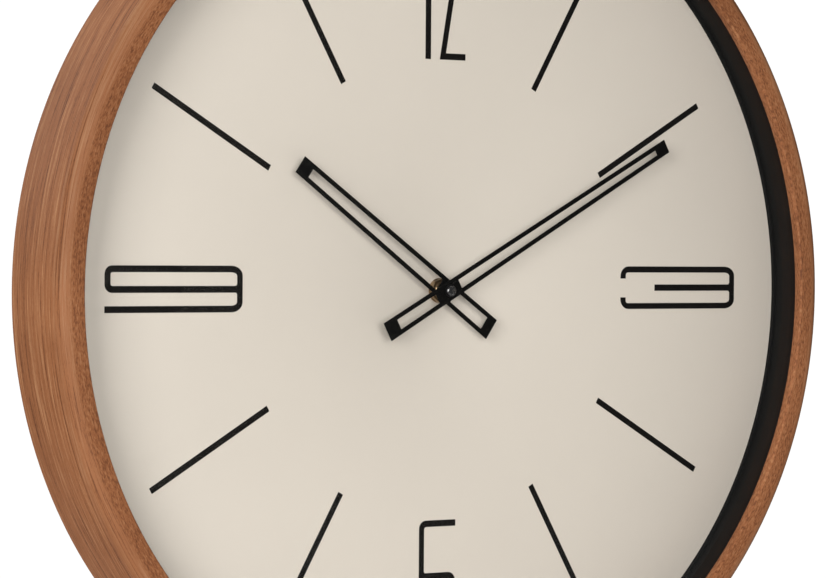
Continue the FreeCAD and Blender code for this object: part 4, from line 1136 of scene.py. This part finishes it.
class CLOCK_OT_stage(bpy.types.Operator):
    """Add the floor, the studio light and the camera"""

    bl_idname = "clock.stage"
    bl_label = "Stage"

    def execute(self, context):
        clock = context.scene.wall_clock
        stage = clock.stage
        floor = added("floor", "plane", size=2 * stage.floor_half,
                      location=(0, 0, FRAME_BOX[0].z - MM / 5))
        paint = Finish("floor_paint", Specular_IOR_Level=0.1)
        wash = paint.noise(paint.place, 3.0, 3.0)
        x, y, _ = paint.parts()
        away = (x * x + y * y).root()
        paint.set(Base_Color=paint.ramp(wash, (0.3, darker(clock.colours.floor, 0.99)),
                                        (0.7, clock.colours.floor)), Roughness=0.9,
                  Alpha=paint.span(away, stage.floor_half, stage.floor_half * 0.35))
        floor.data.materials.append(paint.material)

        world = bpy.data.worlds.new("studio_air")
        context.scene.world = world
        world.use_nodes = True
        tree = world.node_tree
        air = tree.nodes["Background"]
        seen = tree.nodes.new("ShaderNodeBackground")
        path = tree.nodes.new("ShaderNodeLightPath")
        blend = tree.nodes.new("ShaderNodeMixShader")
        for shader, shade, strength in ((air, WARM, 0.10), (seen, WHITE, 1.05)):
            shader.inputs["Color"].default_value = opaque(shade)
            shader.inputs["Strength"].default_value = strength
        tree.links.new(path.outputs["Is Camera Ray"], blend.inputs[0])
        tree.links.new(air.outputs[0], blend.inputs[1])
        tree.links.new(seen.outputs[0], blend.inputs[2])
        tree.links.new(blend.outputs[0], tree.nodes["World Output"].inputs["Surface"])

        for settings in LAMPS:
            lamp(*settings)

        camera = bpy.data.cameras.new("camera")
        camera.lens, camera.sensor_width = 148.8, 36.0
        camera.clip_start, camera.clip_end = 0.05, 60.0
        holder = bpy.data.objects.new("camera", camera)
        context.scene.collection.objects.link(holder)
        holder.location = CENTRE + towards(stage.azimuth, stage.elevation) * stage.distance
        aim = CENTRE + Vector((-stage.aim_left, -stage.aim_back, stage.aim_up))
        look = (aim - holder.location).to_track_quat("-Z", "Y").to_matrix()
        holder.rotation_euler = (look @ Matrix.Rotation(stage.roll, 3, "Z")).to_euler()
        context.scene.camera = holder
        context.scene.view_settings.view_transform = "Standard"
        context.scene.view_settings.look = "None"
        return {"FINISHED"}


# ---- add-on ----

STEPS = (CLOCK_OT_hoop, CLOCK_OT_glass, CLOCK_OT_ring, CLOCK_OT_dial, CLOCK_OT_print,
         CLOCK_OT_hands, CLOCK_OT_cap, CLOCK_OT_centre_fixing, CLOCK_OT_back,
         CLOCK_OT_movement, CLOCK_OT_battery, CLOCK_OT_works, CLOCK_OT_stage)


class WallClock(bpy.types.PropertyGroup):
    """All settings of the clock."""

    case: PointerProperty(name="Case", description="Hoop, glass and ring", type=CaseSizes)
    dial: PointerProperty(name="Dial", description="Dial and print", type=DialSizes)
    hands: PointerProperty(name="Hands", description="Hands and fixing", type=HandSizes)
    colours: PointerProperty(name="Colours", description="Main colours", type=Colours)
    stage: PointerProperty(name="Stage", description="Camera and floor", type=StageSizes)


class CLOCK_PT_panel(bpy.types.Panel):
    """The clock's settings and its pieces"""

    bl_idname = "CLOCK_PT_panel"
    bl_label = "Wooden Wall Clock"
    bl_space_type = "VIEW_3D"
    bl_region_type = "UI"
    bl_category = "Clock"

    def draw(self, context):
        clock = context.scene.wall_clock
        for name, group in SETS:
            column = self.layout.column(heading=name.title())
            for key in group.__annotations__:
                column.prop(getattr(clock, name), key)
        for step in STEPS:
            self.layout.operator(step.bl_idname)


CLASSES = (*(group for _, group in SETS), WallClock, *STEPS, CLOCK_PT_panel)


def register():
    for item in CLASSES:
        bpy.utils.register_class(item)
    bpy.types.Scene.wall_clock = PointerProperty(type=WallClock)


def unregister():
    del bpy.types.Scene.wall_clock
    for item in reversed(CLASSES):
        bpy.utils.unregister_class(item)


def main():
    """Builds the clock and its stage."""
    register()
    for step in STEPS:
        group, name = step.bl_idname.split(".")
        getattr(getattr(bpy.ops, group), name)()


if __name__ == "__main__":
    main()
